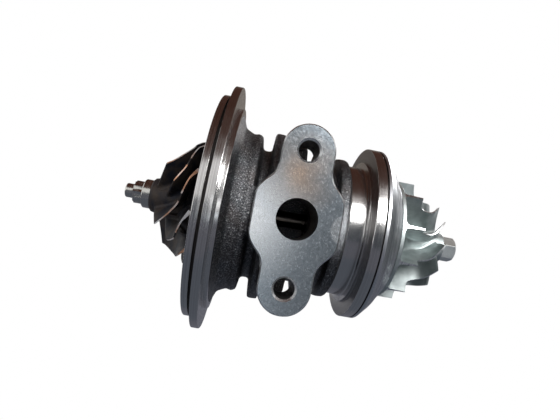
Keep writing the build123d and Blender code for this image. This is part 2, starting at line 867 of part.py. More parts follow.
# Compressor wheel: hub with its disc, eleven full blades and the bore for the shaft
blade_outline = [
    (blade_core_radius, disc_rim_x + blade_back_step),
    (compressor_wheel_radius, disc_rim_x + blade_back_step),
    (compressor_wheel_radius, compressor_tip_x),
]
blade_outline += [(radius, disc_rim_x + distance) for distance, radius in compressor_shroud_line]
blade_outline += [(inducer_radius, inducer_x), (blade_core_radius, inducer_root_x)]
compressor_blade = wheel_blade(
    [(disc_rim_x + distance, compressor_blade_angle + lean) for distance, lean in compressor_blade_line],
    blade_core_radius - blade_back_step,
    compressor_wheel_radius + cut_margin,
    compressor_blade_root,
    compressor_blade_tip,
    blade_outline,
)

with BuildPart(Plane.YZ) as compressor_wheel:
    with BuildSketch(Plane.XY) as compressor_hub:
        with BuildLine():
            Polyline(
                (compressor_hub_end, compressor_hub_radius),
                (compressor_hub_end, 0),
                (wheel_back_boss_x, 0),
                (wheel_back_boss_x, wheel_back_boss_radius),
                (disc_rim_x, compressor_wheel_radius),
                (disc_front_x, compressor_wheel_radius),
            )
            Spline(
                (disc_front_x, compressor_wheel_radius),
                *[(disc_rim_x + distance, radius) for distance, radius in compressor_hub_line],
                (compressor_hub_end, compressor_hub_radius),
            )
        make_face()
    revolve(compressor_hub.sketch, axis=Axis.X)
    with PolarLocations(0, compressor_blades):
        add(compressor_blade)
    bore_length = compressor_hub_end - wheel_back_boss_x
    ring(wheel_back_boss_x, bore_length, 0, stub_radius + stub_fit, mode=Mode.SUBTRACT)
compressor_wheel.part.label = "compressor_wheel"


# Compressor nut, a hex nut with a chamfered end
with BuildPart() as compressor_nut:
    with BuildSketch(Plane.YZ.offset(compressor_hub_end)) as hexagon:
        RegularPolygon(nut_across_flats / 2, 6, major_radius=False, rotation=nut_angle)
        Circle(stub_radius + stub_fit, mode=Mode.SUBTRACT)
    extrude(hexagon.sketch, amount=nut_length)
    turned(
        [
            (compressor_hub_end, 0),
            (compressor_hub_end, nut_chamfer_radius),
            (compressor_hub_end + nut_base_chamfer, nut_reach),
            (nut_end - nut_end_chamfer, nut_reach),
            (nut_end, nut_chamfer_radius),
            (nut_end, 0),
        ],
        mode=Mode.INTERSECT,
    )
compressor_nut.part.label = "compressor_nut"


os.makedirs("parts", exist_ok=True)
export_step(bearing_housing.part, "parts/bearing_housing.step")
export_step(heat_shield.part, "parts/heat_shield.step")
export_step(turbine_wheel.part, "parts/turbine_wheel.step")
export_step(rotor_shaft.part, "parts/rotor_shaft.step")
export_step(turbine_seal_ring.part, "parts/turbine_seal_ring.step")
export_step(turbine_bush.part, "parts/turbine_bush.step")
export_step(compressor_bush.part, "parts/compressor_bush.step")
export_step(turbine_bush_outer_clip.part, "parts/turbine_bush_outer_clip.step")
export_step(turbine_bush_inner_clip.part, "parts/turbine_bush_inner_clip.step")
export_step(compressor_bush_inner_clip.part, "parts/compressor_bush_inner_clip.step")
export_step(compressor_bush_outer_clip.part, "parts/compressor_bush_outer_clip.step")
export_step(thrust_collar.part, "parts/thrust_collar.step")
export_step(thrust_bearing.part, "parts/thrust_bearing.step")
export_step(thrust_pins.part, "parts/thrust_pins.step")
export_step(oil_flinger.part, "parts/oil_flinger.step")
export_step(oil_deflector.part, "parts/oil_deflector.step")
export_step(compressor_seal_ring.part, "parts/compressor_seal_ring.step")
export_step(backplate.part, "parts/backplate.step")
export_step(backplate_o_ring.part, "parts/backplate_o_ring.step")
export_step(backplate_screws.part, "parts/backplate_screws.step")
export_step(compressor_wheel.part, "parts/compressor_wheel.step")
export_step(compressor_nut.part, "parts/compressor_nut.step")
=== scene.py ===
import math

import bmesh
import bpy
import numpy as np
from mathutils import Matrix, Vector, noise


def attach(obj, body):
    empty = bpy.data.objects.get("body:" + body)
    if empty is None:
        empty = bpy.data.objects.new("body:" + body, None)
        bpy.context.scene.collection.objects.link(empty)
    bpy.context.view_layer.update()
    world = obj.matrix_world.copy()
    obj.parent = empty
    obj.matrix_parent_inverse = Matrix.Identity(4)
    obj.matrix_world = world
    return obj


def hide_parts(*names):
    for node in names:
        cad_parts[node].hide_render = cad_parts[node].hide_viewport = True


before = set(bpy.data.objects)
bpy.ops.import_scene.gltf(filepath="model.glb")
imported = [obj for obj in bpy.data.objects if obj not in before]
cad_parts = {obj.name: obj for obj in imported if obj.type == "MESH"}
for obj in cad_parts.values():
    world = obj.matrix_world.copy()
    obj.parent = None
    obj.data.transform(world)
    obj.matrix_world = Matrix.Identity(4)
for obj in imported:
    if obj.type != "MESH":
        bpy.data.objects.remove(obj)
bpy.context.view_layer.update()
print("frame loaded:", len(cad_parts), "nodes")

mm = 0.001


# Shapes: every piece is drawn in millimetres, x along the shaft, clock angles from -Y towards +Z

def addObject(name, data):
    added = bpy.data.objects.new(name, data)
    bpy.context.scene.collection.objects.link(added)
    return added


# A piece from points in millimetres, with its faces turned outwards
def newPiece(name, points, faces):
    mesh = bpy.data.meshes.new(name)
    mesh.from_pydata([(x * mm, y * mm, z * mm) for x, y, z in points], [], faces)
    work = bmesh.new()
    work.from_mesh(mesh)
    bmesh.ops.remove_doubles(work, verts=work.verts, dist=1e-7)
    bmesh.ops.recalc_face_normals(work, faces=work.faces)
    work.to_mesh(mesh)
    work.free()
    return addObject(name, mesh)


# Rounds the corners (x, radius, rounding) of a closed outline
def roundedLine(corners, parts=4):
    line = []
    for index, corner in enumerate(corners):
        size = corner[2] if len(corner) > 2 else 0
        here = Vector(corner[:2])
        if not size:
            line.append(tuple(here))
            continue
        before = (Vector(corners[index - 1][:2]) - here).normalized()
        after = (Vector(corners[(index + 1) % len(corners)][:2]) - here).normalized()
        half = before.angle(after) / 2
        centre = here + (before + after).normalized() * size / math.sin(half)
        first = here + before * size / math.tan(half) - centre
        last = here + after * size / math.tan(half) - centre
        start = math.atan2(first.y, first.x)
        sweep = (math.atan2(last.y, last.x) - start + math.pi) % (2 * math.pi) - math.pi
        for step in range(parts + 1):
            turn = start + sweep * step / parts
            line.append((centre.x + size * math.cos(turn), centre.y + size * math.sin(turn)))
    return line


# Turns a closed outline of (x, radius) round the shaft axis
def turnedPiece(name, corners, steps=180, parts=4):
    points = []
    rings = []
    for x, radius in roundedLine(corners, parts):
        if radius < 1e-6:
            rings.append([len(points)] * steps)
            points.append((x, 0, 0))
            continue
        rings.append(list(range(len(points), len(points) + steps)))
        for step in range(steps):
            turn = 2 * math.pi * step / steps
            points.append((x, -radius * math.cos(turn), radius * math.sin(turn)))
    faces = []
    for lower, upper in zip(rings, rings[1:] + rings[:1]):
        for step in range(steps):
            following = (step + 1) % steps
            face = [lower[step], lower[following], upper[following], upper[step]]
            face = [corner for place, corner in enumerate(face) if corner not in face[:place]]
            if len(face) > 2:
                faces.append(face)
    return newPiece(name, points, faces)


# A prism between two outlines of points with the same count
def prismPiece(name, low, high):
    count = len(low)
    faces = [list(range(count))[::-1], list(range(count, 2 * count))]
    for index in range(count):
        following = (index + 1) % count
        faces.append([index, following, following + count, index + count])
    return newPiece(name, list(low) + list(high), faces)


# A round bar between two places, with its own radius at each end
def barPiece(name, start, end, radius, endRadius=None, steps=64):
    start = Vector(start)
    end = Vector(end)
    axis = (end - start).normalized()
    side = axis.orthogonal().normalized()
    other = axis.cross(side)
    ends = []
    for place, size in ((start, radius), (end, endRadius or radius)):
        ring = []
        for step in range(steps):
            turn = 2 * math.pi * step / steps
            ring.append(tuple(place + side * size * math.cos(turn) + other * size * math.sin(turn)))
        ends.append(ring)
    return prismPiece(name, *ends)


def bakeModifiers(piece):
    view = bpy.context.evaluated_depsgraph_get()
    mesh = bpy.data.meshes.new_from_object(piece.evaluated_get(view))
    piece.modifiers.clear()
    old = piece.data
    piece.data = mesh
    bpy.data.meshes.remove(old)


# Adds, takes away or keeps what a tool piece shares, then drops the tool
def combine(piece, tool, how="DIFFERENCE"):
    cut = piece.modifiers.new("cut", "BOOLEAN")
    cut.operation = how
    cut.solver = "MANIFOLD"
    cut.object = tool
    bakeModifiers(piece)
    bpy.data.objects.remove(tool)


def joinPieces(name, pieces):
    work = bmesh.new()
    for piece in pieces:
        work.from_mesh(piece.data)
        bpy.data.objects.remove(piece)
    mesh = bpy.data.meshes.new(name)
    work.to_mesh(mesh)
    work.free()
    return addObject(name, mesh)


# Smooth shading that keeps wide faces flat, so that only their rounded edges bend the light
def finishSurface(piece, edgeAngle):
    work = bmesh.new()
    work.from_mesh(piece.data)
    bmesh.ops.dissolve_degenerate(work, dist=2e-6, edges=work.edges)
    bmesh.ops.triangulate(work, faces=[face for face in work.faces if len(face.verts) > 4])
    work.to_mesh(piece.data)
    work.free()
    piece.data.shade_smooth()
    piece.data.set_sharp_from_angle(angle=math.radians(edgeAngle))
    even = piece.modifiers.new("even", "WEIGHTED_NORMAL")
    even.mode = "FACE_AREA"
    even.keep_sharp = True
    bakeModifiers(piece)


# Centres (mm) and normals of a piece's faces
def faceTable(piece):
    count = len(piece.data.polygons)
    centres = np.empty(count * 3)
    normals = np.empty(count * 3)
    piece.data.polygons.foreach_get("center", centres)
    piece.data.polygons.foreach_get("normal", normals)
    return centres.reshape(-1, 3) / mm, normals.reshape(-1, 3)


# Gives a piece its finishes, and each face the number of its finish among them
def paintFaces(piece, finishNames, numbers=0):
    piece.data.materials.clear()
    for name in finishNames:
        piece.data.materials.append(finishes[name])
    indices = np.zeros(len(piece.data.polygons), dtype=np.int32)
    indices[:] = numbers
    piece.data.polygons.foreach_set("material_index", indices)
    piece.data.update()


# A smooth line through table points, read at any parameter
def smoothLine(table, places):
    table = np.asarray(table, float)
    padded = np.vstack([2 * table[0] - table[1], table, 2 * table[-1] - table[-2]])
    points = []
    for place in places:
        low = min(int(place), len(table) - 2)
        t = place - low
        a, b, c, d = padded[low : low + 4]
        point = 2 * b + (c - a) * t + (2 * a - 5 * b + 4 * c - d) * t**2
        points.append(0.5 * (point + (3 * b - a - 3 * c + d) * t**3))
    return np.array(points)


# The values that a look holds under some names
def read(look, names):
    return [look[name] for name in names.split()]


def clockPoint(x, radius, angle):
    turn = math.radians(angle)
    return (x, -radius * math.cos(turn), radius * math.sin(turn))


# Sets a node's inputs to values, or links them to sockets or to other nodes' first outputs
def setInputs(tree, node, inputs):
    for key, value in dict(inputs).items():
        if isinstance(value, bpy.types.Node):
            value = value.outputs[0]
        if isinstance(value, bpy.types.NodeSocket):
            tree.links.new(value, node.inputs[key])
        else:
            node.inputs[key].default_value = value


def addNode(tree, kind, inputs=(), **settings):
    node = tree.nodes.new(kind)
    for key, value in settings.items():
        setattr(node, key, value)
    setInputs(tree, node, inputs)
    return node


# The emptied tree of a material or a world
def emptyTree(owner):
    owner.use_nodes = True
    owner.node_tree.nodes.clear()
    return owner.node_tree


# Materials: patterns are drawn on object coordinates, in millimetres

class Finish:
    def __init__(self, name, metallic, roughness):
        self.material = bpy.data.materials.new(name)
        self.tree = emptyTree(self.material)
        self.shader = self.node("ShaderNodeBsdfPrincipled", {"Metallic": metallic, "Roughness": roughness})
        self.node("ShaderNodeOutputMaterial", {"Surface": self.shader})
        place = self.node("ShaderNodeTexCoord").outputs["Object"]
        self.point = self.node("ShaderNodeVectorMath", {0: place, "Scale": 1 / mm}, operation="SCALE")

    def node(self, kind, inputs=(), **settings):
        return addNode(self.tree, kind, inputs, **settings)

    def math(self, operation, first, second=0.0):
        return self.node("ShaderNodeMath", {0: first, 1: second}, operation=operation)

    # Coordinates of a turned surface: along the shaft, out from it, and slowly round it
    def turnedPoint(self, fine, around=0.15):
        x, y, z = self.node("ShaderNodeSeparateXYZ", {0: self.point}).outputs
        squares = self.math("ADD", self.math("MULTIPLY", y, y), self.math("MULTIPLY", z, z))
        radius = self.math("POWER", squares, 0.5)
        turn = self.math("ABSOLUTE", self.math("ARCTAN2", z, y))
        scaled = [self.math("MULTIPLY", *pair) for pair in ((x, fine), (radius, fine), (turn, around))]
        return self.node("ShaderNodeCombineXYZ", enumerate(scaled))

    # Coordinates turned about the Y axis and stretched, for lines on the drain face
    def streakPoint(self, angle, scales):
        turn = (0, math.radians(angle), 0)
        return self.node("ShaderNodeMapping", {"Vector": self.point, "Rotation": turn, "Scale": scales})

    def noise(self, scale, detail, rough, point=None):
        inputs = {"Vector": point or self.point, "Scale": scale, "Detail": detail, "Roughness": rough}
        return self.node("ShaderNodeTexNoise", inputs)

    def range(self, source, low, high, start=0.3, end=0.7):
        inputs = {"Value": source, "From Min": start, "From Max": end, "To Min": low, "To Max": high}
        return self.node("ShaderNodeMapRange", inputs)

    # One up to a distance from a place, fading to nothing at the reach
    def nearness(self, place, start, reach):
        away = self.node("ShaderNodeVectorMath", {0: self.point, 1: place}, operation="DISTANCE")
        return self.range(away.outputs["Value"], 1.0, 0.0, start, reach)

    def ramp(self, source, *stops):
        node = self.node("ShaderNodeValToRGB", {"Fac": source})
        elements = node.color_ramp.elements
        while len(elements) < len(stops):
            elements.new(0.5)
        for element, (place, colour) in zip(elements, stops):
            element.position = place
            element.color = (*colour, 1)
        return node

    # Lays a plain colour over another, as far as the source says
    def cover(self, source, under, colour):
        node = self.node("ShaderNodeMix", {0: source, 6: under, 7: (*colour, 1)}, data_type="RGBA")
        return node.outputs[2]

    def bump(self, height, depth, after=None):
        inputs = {"Height": height, "Strength": 1.0, "Distance": depth * mm}
        if after:
            inputs["Normal"] = after
        return self.node("ShaderNodeBump", inputs)

    def made(self, colour, roughness, normal):
        setInputs(self.tree, self.shader, {"Base Color": colour, "Roughness": roughness, "Normal": normal})
        return self.material


castIronLook = {
    "dark": (0.030, 0.034, 0.040),
    "light": (0.118, 0.126, 0.134),
    "spark": (0.86, 0.87, 0.88),
    "rust": (0.10, 0.066, 0.050),
    # painted highlight: a light iron colour laid round one place on the drain pad's right flank, where the
    # light falls
    "paintedHighlight": (0.52, 0.54, 0.56),
    "paintedHighlightPlace": (51, -31, -2),
    "paintedHighlightReach": 12.0,
    "grain": 2.0,
    "fine": 4.0,
    "patches": 0.12,
    "depth": 0.20,
    "fineDepth": 0.05,
    "rough": (0.36, 0.52),
}


def castIron():
    look = castIronLook
    finish = Finish("castIron", 1.0, 0.5)
    grain = finish.noise(look["grain"], 4, 0.65)
    fine = finish.noise(look["fine"], 2, 0.6)
    patches = finish.noise(look["patches"], 2, 0.5)
    colour = finish.ramp(grain, (0.40, look["dark"]), (0.57, look["light"]), (0.72, look["spark"]))
    colour = finish.cover(finish.range(patches, 0.0, 0.3), colour, look["rust"])
    # painted highlight: lightens the iron round that place, broken up by the grain
    paintedHighlight = finish.nearness(look["paintedHighlightPlace"], 2, look["paintedHighlightReach"])
    paintedHighlight = finish.math("MULTIPLY", paintedHighlight, finish.range(grain, 0.3, 1.0))
    colour = finish.cover(paintedHighlight, colour, look["paintedHighlight"])
    surface = finish.bump(fine, look["fineDepth"], finish.bump(grain, look["depth"]))
    return finish.made(colour, finish.range(fine, *look["rough"]), surface)


turnedSteelLook = {
    "dark": (0.42, 0.41, 0.405),
    "light": (0.60, 0.59, 0.58),
    "lines": 4.0,
    "around": 0.06,
    "stains": 0.15,
    "depth": 0.00015,
    "rough": (0.15, 0.20),
    "stainRough": (-0.01, 0.04),
}


def turnedSteel():
    look = turnedSteelLook
    finish = Finish("turnedSteel", 1.0, 0.2)
    lines = finish.noise(1.0, 3, 0.6, finish.turnedPoint(look["lines"], look["around"]))
    stains = finish.noise(look["stains"], 3, 0.6)
    colour = finish.ramp(lines, (0.3, look["dark"]), (0.7, look["light"]))
    rough = finish.math("ADD", finish.range(lines, *look["rough"]), finish.range(stains, *look["stainRough"]))
    return finish.made(colour, rough, finish.bump(lines, look["depth"]))


groundFaceLook = {
    "dark": (0.195, 0.225, 0.25),
    "light": (0.315, 0.345, 0.37),
    "warm": (0.42, 0.33, 0.27),
    "warmPlace": (31, -38, 17),
    "warmReach": 17.0,
    "bright": (0.62, 0.635, 0.645),
    # painted highlight: the face is painted bright round this place at its left edge, where the light falls
    # on it
    "paintedFaceHighlight": (13, -38, -3),
    "reach": 27.0,
    "rubbed": (52.3, -38, -1),
    "rubbedRadius": 6.3,
    "rubbedEdge": 0.3,
    "rubbedShare": 0.6,
    "mottle": 0.9,
    "specks": 1.7,
    "scratches": 9.0,
    "scratchAngles": (35, -50),
    "scratchDepths": (0.006, 0.005),
    "rough": (0.20, 0.27),
}


def groundFace():
    look = groundFaceLook
    finish = Finish("groundFace", 0.9, 0.42)
    first, second = look["scratchAngles"]
    scratches = finish.noise(1.0, 3, 0.7, finish.streakPoint(first, (look["scratches"], 1, 0.25)))
    crossing = finish.noise(0.7, 2, 0.7, finish.streakPoint(second, (look["scratches"], 1, 0.2)))
    mottle = finish.noise(look["mottle"], 4, 0.65)
    colour = finish.ramp(mottle, (0.3, look["dark"]), (0.7, look["light"]))
    warmth = finish.nearness(look["warmPlace"], 0, look["warmReach"])
    warmth = finish.math("MULTIPLY", warmth, finish.range(finish.noise(0.07, 2, 0.5), 0.4, 1.4))
    colour = finish.cover(warmth, colour, look["warm"])
    # painted highlight: the bright colour laid over the left part of the face
    colour = finish.cover(finish.nearness(look["paintedFaceHighlight"], 0, look["reach"]), colour, look["bright"])
    rubbed = finish.nearness(look["rubbed"], look["rubbedRadius"] - look["rubbedEdge"], look["rubbedRadius"])
    colour = finish.cover(finish.math("MULTIPLY", rubbed, look["rubbedShare"]), colour, look["bright"])
    specks = finish.range(finish.noise(look["specks"], 3, 0.7), 0.0, 0.55, 0.68, 0.74)
    nicks = finish.range(finish.math("ADD", scratches, crossing), 0.0, 0.4, 1.26, 1.38)
    colour = finish.cover(finish.math("MAXIMUM", specks, nicks), colour, look["bright"])
    deep, shallow = look["scratchDepths"]
    surface = finish.bump(crossing, shallow, finish.bump(scratches, deep))
    rough = finish.math("ADD", finish.range(mottle, *look["rough"]), finish.range(scratches, -0.03, 0.04))
    return finish.made(colour, rough, surface)


# Plain metals share one recipe: colour, shade, roughness range and scale of the pattern
plainMetals = {
    "milledEdge": ((0.80, 0.81, 0.81), (0.66, 0.67, 0.68), (0.22, 0.34), 3.0),
    "boredSteel": ((0.30, 0.29, 0.29), (0.15, 0.145, 0.145), (0.25, 0.40), 2.0),
    # painted shade: shaft steel painted near-black, as the shade it lies in inside the housing
    "paintedShadeShaftSteel": ((0.085, 0.075, 0.068), (0.05, 0.045, 0.04), (0.14, 0.24), 2.5),
    # painted shade: near-black steel for the relief groove and the seam, painted as the shade that falls in
    # them
    "paintedShadeSteel": ((0.07, 0.065, 0.062), (0.035, 0.033, 0.032), (0.40, 0.60), 2.0),
    "nutSteel": ((0.78, 0.82, 0.80), (0.62, 0.66, 0.65), (0.34, 0.46), 2.0),
    "noseSteel": ((0.58, 0.57, 0.54), (0.46, 0.45, 0.42), (0.14, 0.24), 0.8),
    "springSteel": ((0.42, 0.42, 0.44), (0.30, 0.30, 0.32), (0.25, 0.38), 3.0),
    "screwSteel": ((0.30, 0.30, 0.31), (0.18, 0.18, 0.19), (0.30, 0.45), 3.0),
    "bearingBronze": ((0.72, 0.50, 0.25), (0.56, 0.36, 0.16), (0.22, 0.36), 2.0),
    "pressedSheet": ((0.42, 0.40, 0.39), (0.26, 0.24, 0.24), (0.32, 0.50), 0.8),
}


def plainMetal(name):
    bright, shade, rough, scale = plainMetals[name]
    finish = Finish(name, 1.0, rough[0])
    pattern = finish.noise(scale, 3, 0.6, finish.turnedPoint(2.5))
    cloud = finish.noise(0.5, 3, 0.6)
    colour = finish.ramp(pattern, (0.32, shade), (0.68, bright))
    rough = finish.math("ADD", finish.range(pattern, *rough), finish.range(cloud, -0.03, 0.05))
    return finish.made(colour, rough, finish.bump(pattern, 0.006))


turnedAluminiumLook = {
    "dark": (0.42, 0.43, 0.45),
    "light": (0.62, 0.635, 0.66),
    "rings": 1.5,
    "fine": 7.0,
    "depth": 0.03,
    "fineDepth": 0.008,
    "rough": (0.24, 0.40),
}


def turnedAluminium():
    look = turnedAluminiumLook
    finish = Finish("turnedAluminium", 1.0, 0.3)
    broad = finish.noise(1.0, 2, 0.5, finish.turnedPoint(look["rings"], 0.1))
    fine = finish.noise(1.0, 2, 0.6, finish.turnedPoint(look["fine"], 0.3))
    colour = finish.ramp(broad, (0.35, look["dark"]), (0.65, look["light"]))
    surface = finish.bump(fine, look["fineDepth"], finish.bump(broad, look["depth"]))
    return finish.made(colour, finish.range(fine, *look["rough"]), surface)


# Clouded finishes: one slow pattern for the colour, and a fine grain for roughness and bumps
castAluminiumLook = {
    "stops": ((0.35, (0.36, 0.40, 0.40)), (0.65, (0.48, 0.525, 0.52))),
    "cloud": 0.25,
    "grain": (2.2, 4),
    "rough": (0.42, 0.54),
    "depth": 0.02,
}
turbineAlloyLook = {
    "stops": ((0.38, (0.010, 0.011, 0.016)), (0.64, (0.034, 0.026, 0.022))),
    "cloud": 0.18,
    "grain": (1.8, 4),
    "rough": (0.42, 0.60),
    "depth": 0.04,
    "gleam": 0.2,
}
turbineEdgeLook = {
    "stops": ((0.42, (0.50, 0.27, 0.17)), (0.58, (0.72, 0.71, 0.71))),
    "cloud": 0.12,
    "grain": (3, 3),
    "rough": (0.24, 0.38),
    "depth": 0.01,
}


def clouded(finish, look):
    grain = finish.noise(*look["grain"], 0.6)
    cloud = finish.noise(look["cloud"], 2, 0.5)
    colour = finish.ramp(cloud, *look["stops"])
    return finish.made(colour, finish.range(grain, *look["rough"]), finish.bump(grain, look["depth"]))


def castAluminium():
    return clouded(Finish("castAluminium", 1.0, 0.36), castAluminiumLook)


def turbineAlloy():
    finish = Finish("turbineAlloy", 0.15, 0.5)
    finish.shader.inputs["Specular IOR Level"].default_value = turbineAlloyLook["gleam"]
    return clouded(finish, turbineAlloyLook)


def turbineEdge():
    return clouded(Finish("turbineEdge", 0.55, 0.3), turbineEdgeLook)


def blackRubber():
    finish = Finish("blackRubber", 0.0, 0.6)
    grain = finish.noise(3, 3, 0.6)
    colour = finish.ramp(grain, (0.3, (0.025, 0.025, 0.025)), (0.7, (0.055, 0.055, 0.055)))
    return finish.made(colour, finish.range(grain, 0.5, 0.7), finish.bump(grain, 0.01))


ownRecipes = (castIron, turnedSteel, groundFace, turnedAluminium, castAluminium)
ownRecipes += (turbineAlloy, turbineEdge, blackRubber)
finishes = {recipe.__name__: recipe() for recipe in ownRecipes}
finishes |= {name: plainMetal(name) for name in plainMetals}
print("finishes made:", len(finishes))


# Bearing housing: a rough casting with turned flanges, a ground drain face and bored holes

housingLook = {
    "voxel": 0.62,
    "softening": 7,
    "lumps": 0.10,
    "lumpScale": 0.35,
    "grit": 0.05,
    "gritScale": 1.1,
    "finCrests": [37.6, 35.65, 33.7, 31.75],
    "grooveFloors": [29.0, 27.5, 27.5, 27.5, 28.6],
    "firstFin": 22.7,
    "finPitch": 9.65,
    "finHalf": 2.1,
    "finFoot": 2.8,
    "inletFace": 36.0,
    "inletBoss": 10.0,
    "inletRadius": 5.2,
    "galleryRadius": 2.0,
}


def castCore():
    floors = housingLook["grooveFloors"]
    half, foot = read(housingLook, "finHalf finFoot")
    outline = [(3.5, 0), (3.5, 43), (5, 42.6), (6.9, 37.3), (8.5, 36.4), (11, 35.2), (13.1, 35.9)]
    outline += [(15.1, 34.9), (16.1, floors[0])]
    for index, crest in enumerate(housingLook["finCrests"]):
        x = housingLook["firstFin"] + index * housingLook["finPitch"]
        outline += [(x - foot, floors[index]), (x - half, crest)]
        outline += [(x + half, crest), (x + foot, floors[index + 1])]
    outline += [(57, floors[-1]), (57, 0)]
    return turnedPiece("castCore", outline, 160)


drainX = 33.0
drainFace = -38.0
padLook = {
    "radius": 19.1,
    "halfWidth": 17.1,
    "sideRound": 8.0,
    "earRadius": 10.25,
    "earPlace": 26.2,
    "waistRound": 8.0,
    "earDepth": 17.5,
    "bossDepth": 26.0,
    "stock": 2.0,
    "chamfer": 0.5,
    "drainRadius": 7.94,
    "boltRadius": 4.0,
}


def arcLine(centre, radius, first, last, parts=12):
    turns = np.radians(np.linspace(first, last, parts + 1))
    return [(centre[0] + radius * math.cos(turn), centre[1] + radius * math.sin(turn)) for turn in turns]


# Outline of the drain pad, a round boss with a flat on each side, as (x, z) about the drain hole
def padOutline(grow=0.0, ears=True):
    radius, sideRound, waistRound = read(padLook, "radius sideRound waistRound")
    sideX = padLook["halfWidth"] - sideRound
    sideZ = math.sqrt((radius - sideRound) ** 2 - sideX**2)
    sideTurn = math.degrees(math.atan2(sideZ, sideX))
    if ears:
        waistX = padLook["earRadius"] + waistRound
        waistZ = math.sqrt((radius + waistRound) ** 2 - waistX**2)
        waistTurn = math.degrees(math.atan2(waistZ, waistX))
        quarter = arcLine((0, padLook["earPlace"]), padLook["earRadius"] + grow, 90, 0, 18)
        quarter += arcLine((waistX, waistZ), waistRound - grow, 180, 180 + waistTurn)
        quarter += arcLine((0, 0), radius + grow, waistTurn, sideTurn)[1:]
    else:
        quarter = arcLine((0, 0), radius + grow, 90, sideTurn, 24)
    quarter += arcLine((sideX, sideZ), sideRound + grow, sideTurn, 0)[1:]
    outline = quarter + [(x, -z) for x, z in quarter[::-1]]
    return outline + [(-x, -z) for x, z in outline[1:-1]]


def padLayer(grow, depth, ears=True):
    return [(drainX + x, drainFace + depth, z) for x, z in padOutline(grow, ears)]


# A bar across the shaft, at the place of the drain
def crossBar(name, start, end, radius, endRadius=None, z=0, steps=64):
    return barPiece(name, (drainX, start, z), (drainX, end, z), radius, endRadius, steps)


# A block across the shaft with rounded corners
def roundedBlock(name, centre, width, height, corner, low, high):
    half = [(width / 2, height / 2), (width / 2, -height / 2)]
    half += [(-x, -z) for x, z in half]
    outline = roundedLine([(x, z, corner) for x, z in half], 8)
    layers = [[(centre + x, y, z) for x, z in outline] for y in (low, high)]
    return prismPiece(name, *layers)


def roughenCasting(piece):
    mesh = piece.data
    count = len(mesh.vertices)
    points = np.empty(count * 3)
    normals = np.empty(count * 3)
    mesh.vertices.foreach_get("co", points)
    mesh.vertex_normals.foreach_get("vector", normals)
    points = points.reshape(-1, 3)
    rises = np.empty(count)
    for index, point in enumerate(points / mm):
        place = Vector(point)
        lump = housingLook["lumps"] * noise.noise(place * housingLook["lumpScale"])
        rises[index] = lump + housingLook["grit"] * noise.noise(place * housingLook["gritScale"])
    points += normals.reshape(-1, 3) * rises[:, None] * mm
    mesh.vertices.foreach_set("co", points.ravel())
    mesh.update()


def castBody():
    stock = -padLook["stock"]
    parts = [
        castCore(),
        prismPiece("ears", padLayer(0, stock), padLayer(0, padLook["earDepth"])),
        prismPiece("pad", padLayer(0, stock, False), padLayer(0, padLook["bossDepth"], False)),
        crossBar("inletBoss", housingLook["inletFace"] + 2, 16, housingLook["inletBoss"]),
    ]
    casting = joinPieces("bearingHousing", parts)
    remesh = casting.modifiers.new("remesh", "REMESH")
    remesh.mode = "VOXEL"
    remesh.voxel_size = housingLook["voxel"] * mm
    soften = casting.modifiers.new("soften", "SMOOTH")
    soften.iterations = housingLook["softening"]
    soften.factor = 0.5
    bakeModifiers(casting)
    roughenCasting(casting)
    return casting


# Ends are places along the shaft from the flange's seat face
turbineFlangeLook = {
    "pilotEnd": -4.4,
    "pilotRadius": 49.4,
    "reliefStart": -1.7,
    "reliefEnd": 0.3,
    "reliefRadius": 48.2,
    "end": 3.2,
    "radius": 53.8,
    "stepEnd": 5.0,
    "stepRadius": 45.0,
    "sealBore": 8.15,
}


def turbineFlange():
    look = turbineFlangeLook
    front, start, stop, end, back = read(look, "pilotEnd reliefStart reliefEnd end stepEnd")
    pilot, relief, rim, step, bore = read(look, "pilotRadius reliefRadius radius stepRadius sealBore")
    outline = [(front, 44), (front, pilot, 0.45), (start, pilot, 0.15), (start, relief), (stop, relief)]
    outline += [(stop, 49.8), (0, 49.8), (0, rim, 0.2), (end, rim, 0.4), (end, step, 0.25)]
    outline += [(back, step, 0.25), (back, bore), (-3, bore), (-3, 14), (-1.6, 30), (-1.6, 44)]
    return turnedPiece("pilot", outline, 240, 3)


compressorFlangeLook = {
    "neckStart": 54.5,
    "neckRadius": 29.5,
    "stepStart": 61.3,
    "stepRadius": 32.35,
    "start": 62.4,
    "radius": 38.7,
    "end": 66.3,
    "seamRadius": 37.9,
    "seamEnd": 66.6,
    "recessRadius": 24.0,
    "recessFloor": 59.6,
}


def compressorFlange():
    look = compressorFlangeLook
    first, second, start, end, last, floor = read(look, "neckStart stepStart start end seamEnd recessFloor")
    neck, step, rim, seam, recess = read(look, "neckRadius stepRadius radius seamRadius recessRadius")
    outline = [(first, 8), (first, neck, 0.3), (second, neck, 0.6), (second, step, 0.15), (start, step, 0.1)]
    outline += [(start, rim, 0.35), (end, rim, 0.15), (end, seam), (last, seam), (last, recess)]
    outline += [(floor, recess), (floor, 8)]
    return turnedPiece("flange", outline, 240, 3)


# Ground drain face with its chamfer: a block over the pad, hollowed to the shape that stays
def grindDrainFace(casting):
    chamfer = padLook["chamfer"]
    low, high = drainFace - 6, drainFace + chamfer
    cover = roundedBlock("cover", drainX, width=52.0, height=88.0, corner=4.0, low=low, high=high)
    combine(cover, prismPiece("kept", padLayer(-chamfer, 0), padLayer(chamfer, 2 * chamfer)))
    combine(casting, cover)
    inlet, boss = read(housingLook, "inletFace inletBoss")
    combine(casting, crossBar("inletTop", inlet + 10, inlet, boss + 4))


# Bores along the shaft, each as the place where it starts and its radius
boreSteps = [(-3.6, 8.15), (5.5, 12), (10.8, 6.5), (50.3, 10), (52.8, 22), (59.6, 24), (67, 0)]


def boreShaftWay(casting):
    outline = [(boreSteps[0][0], 0)]
    for (start, radius), (end, _) in zip(boreSteps, boreSteps[1:]):
        outline += [(start, radius), (end, radius)]
    outline.append(boreSteps[-1])
    combine(casting, turnedPiece("bores", outline, 96))
    cavity = roundedBlock("cavity", centre=32.7, width=16.6, height=34.0, corner=4.0, low=-18.0, high=6.0)
    combine(casting, cavity)


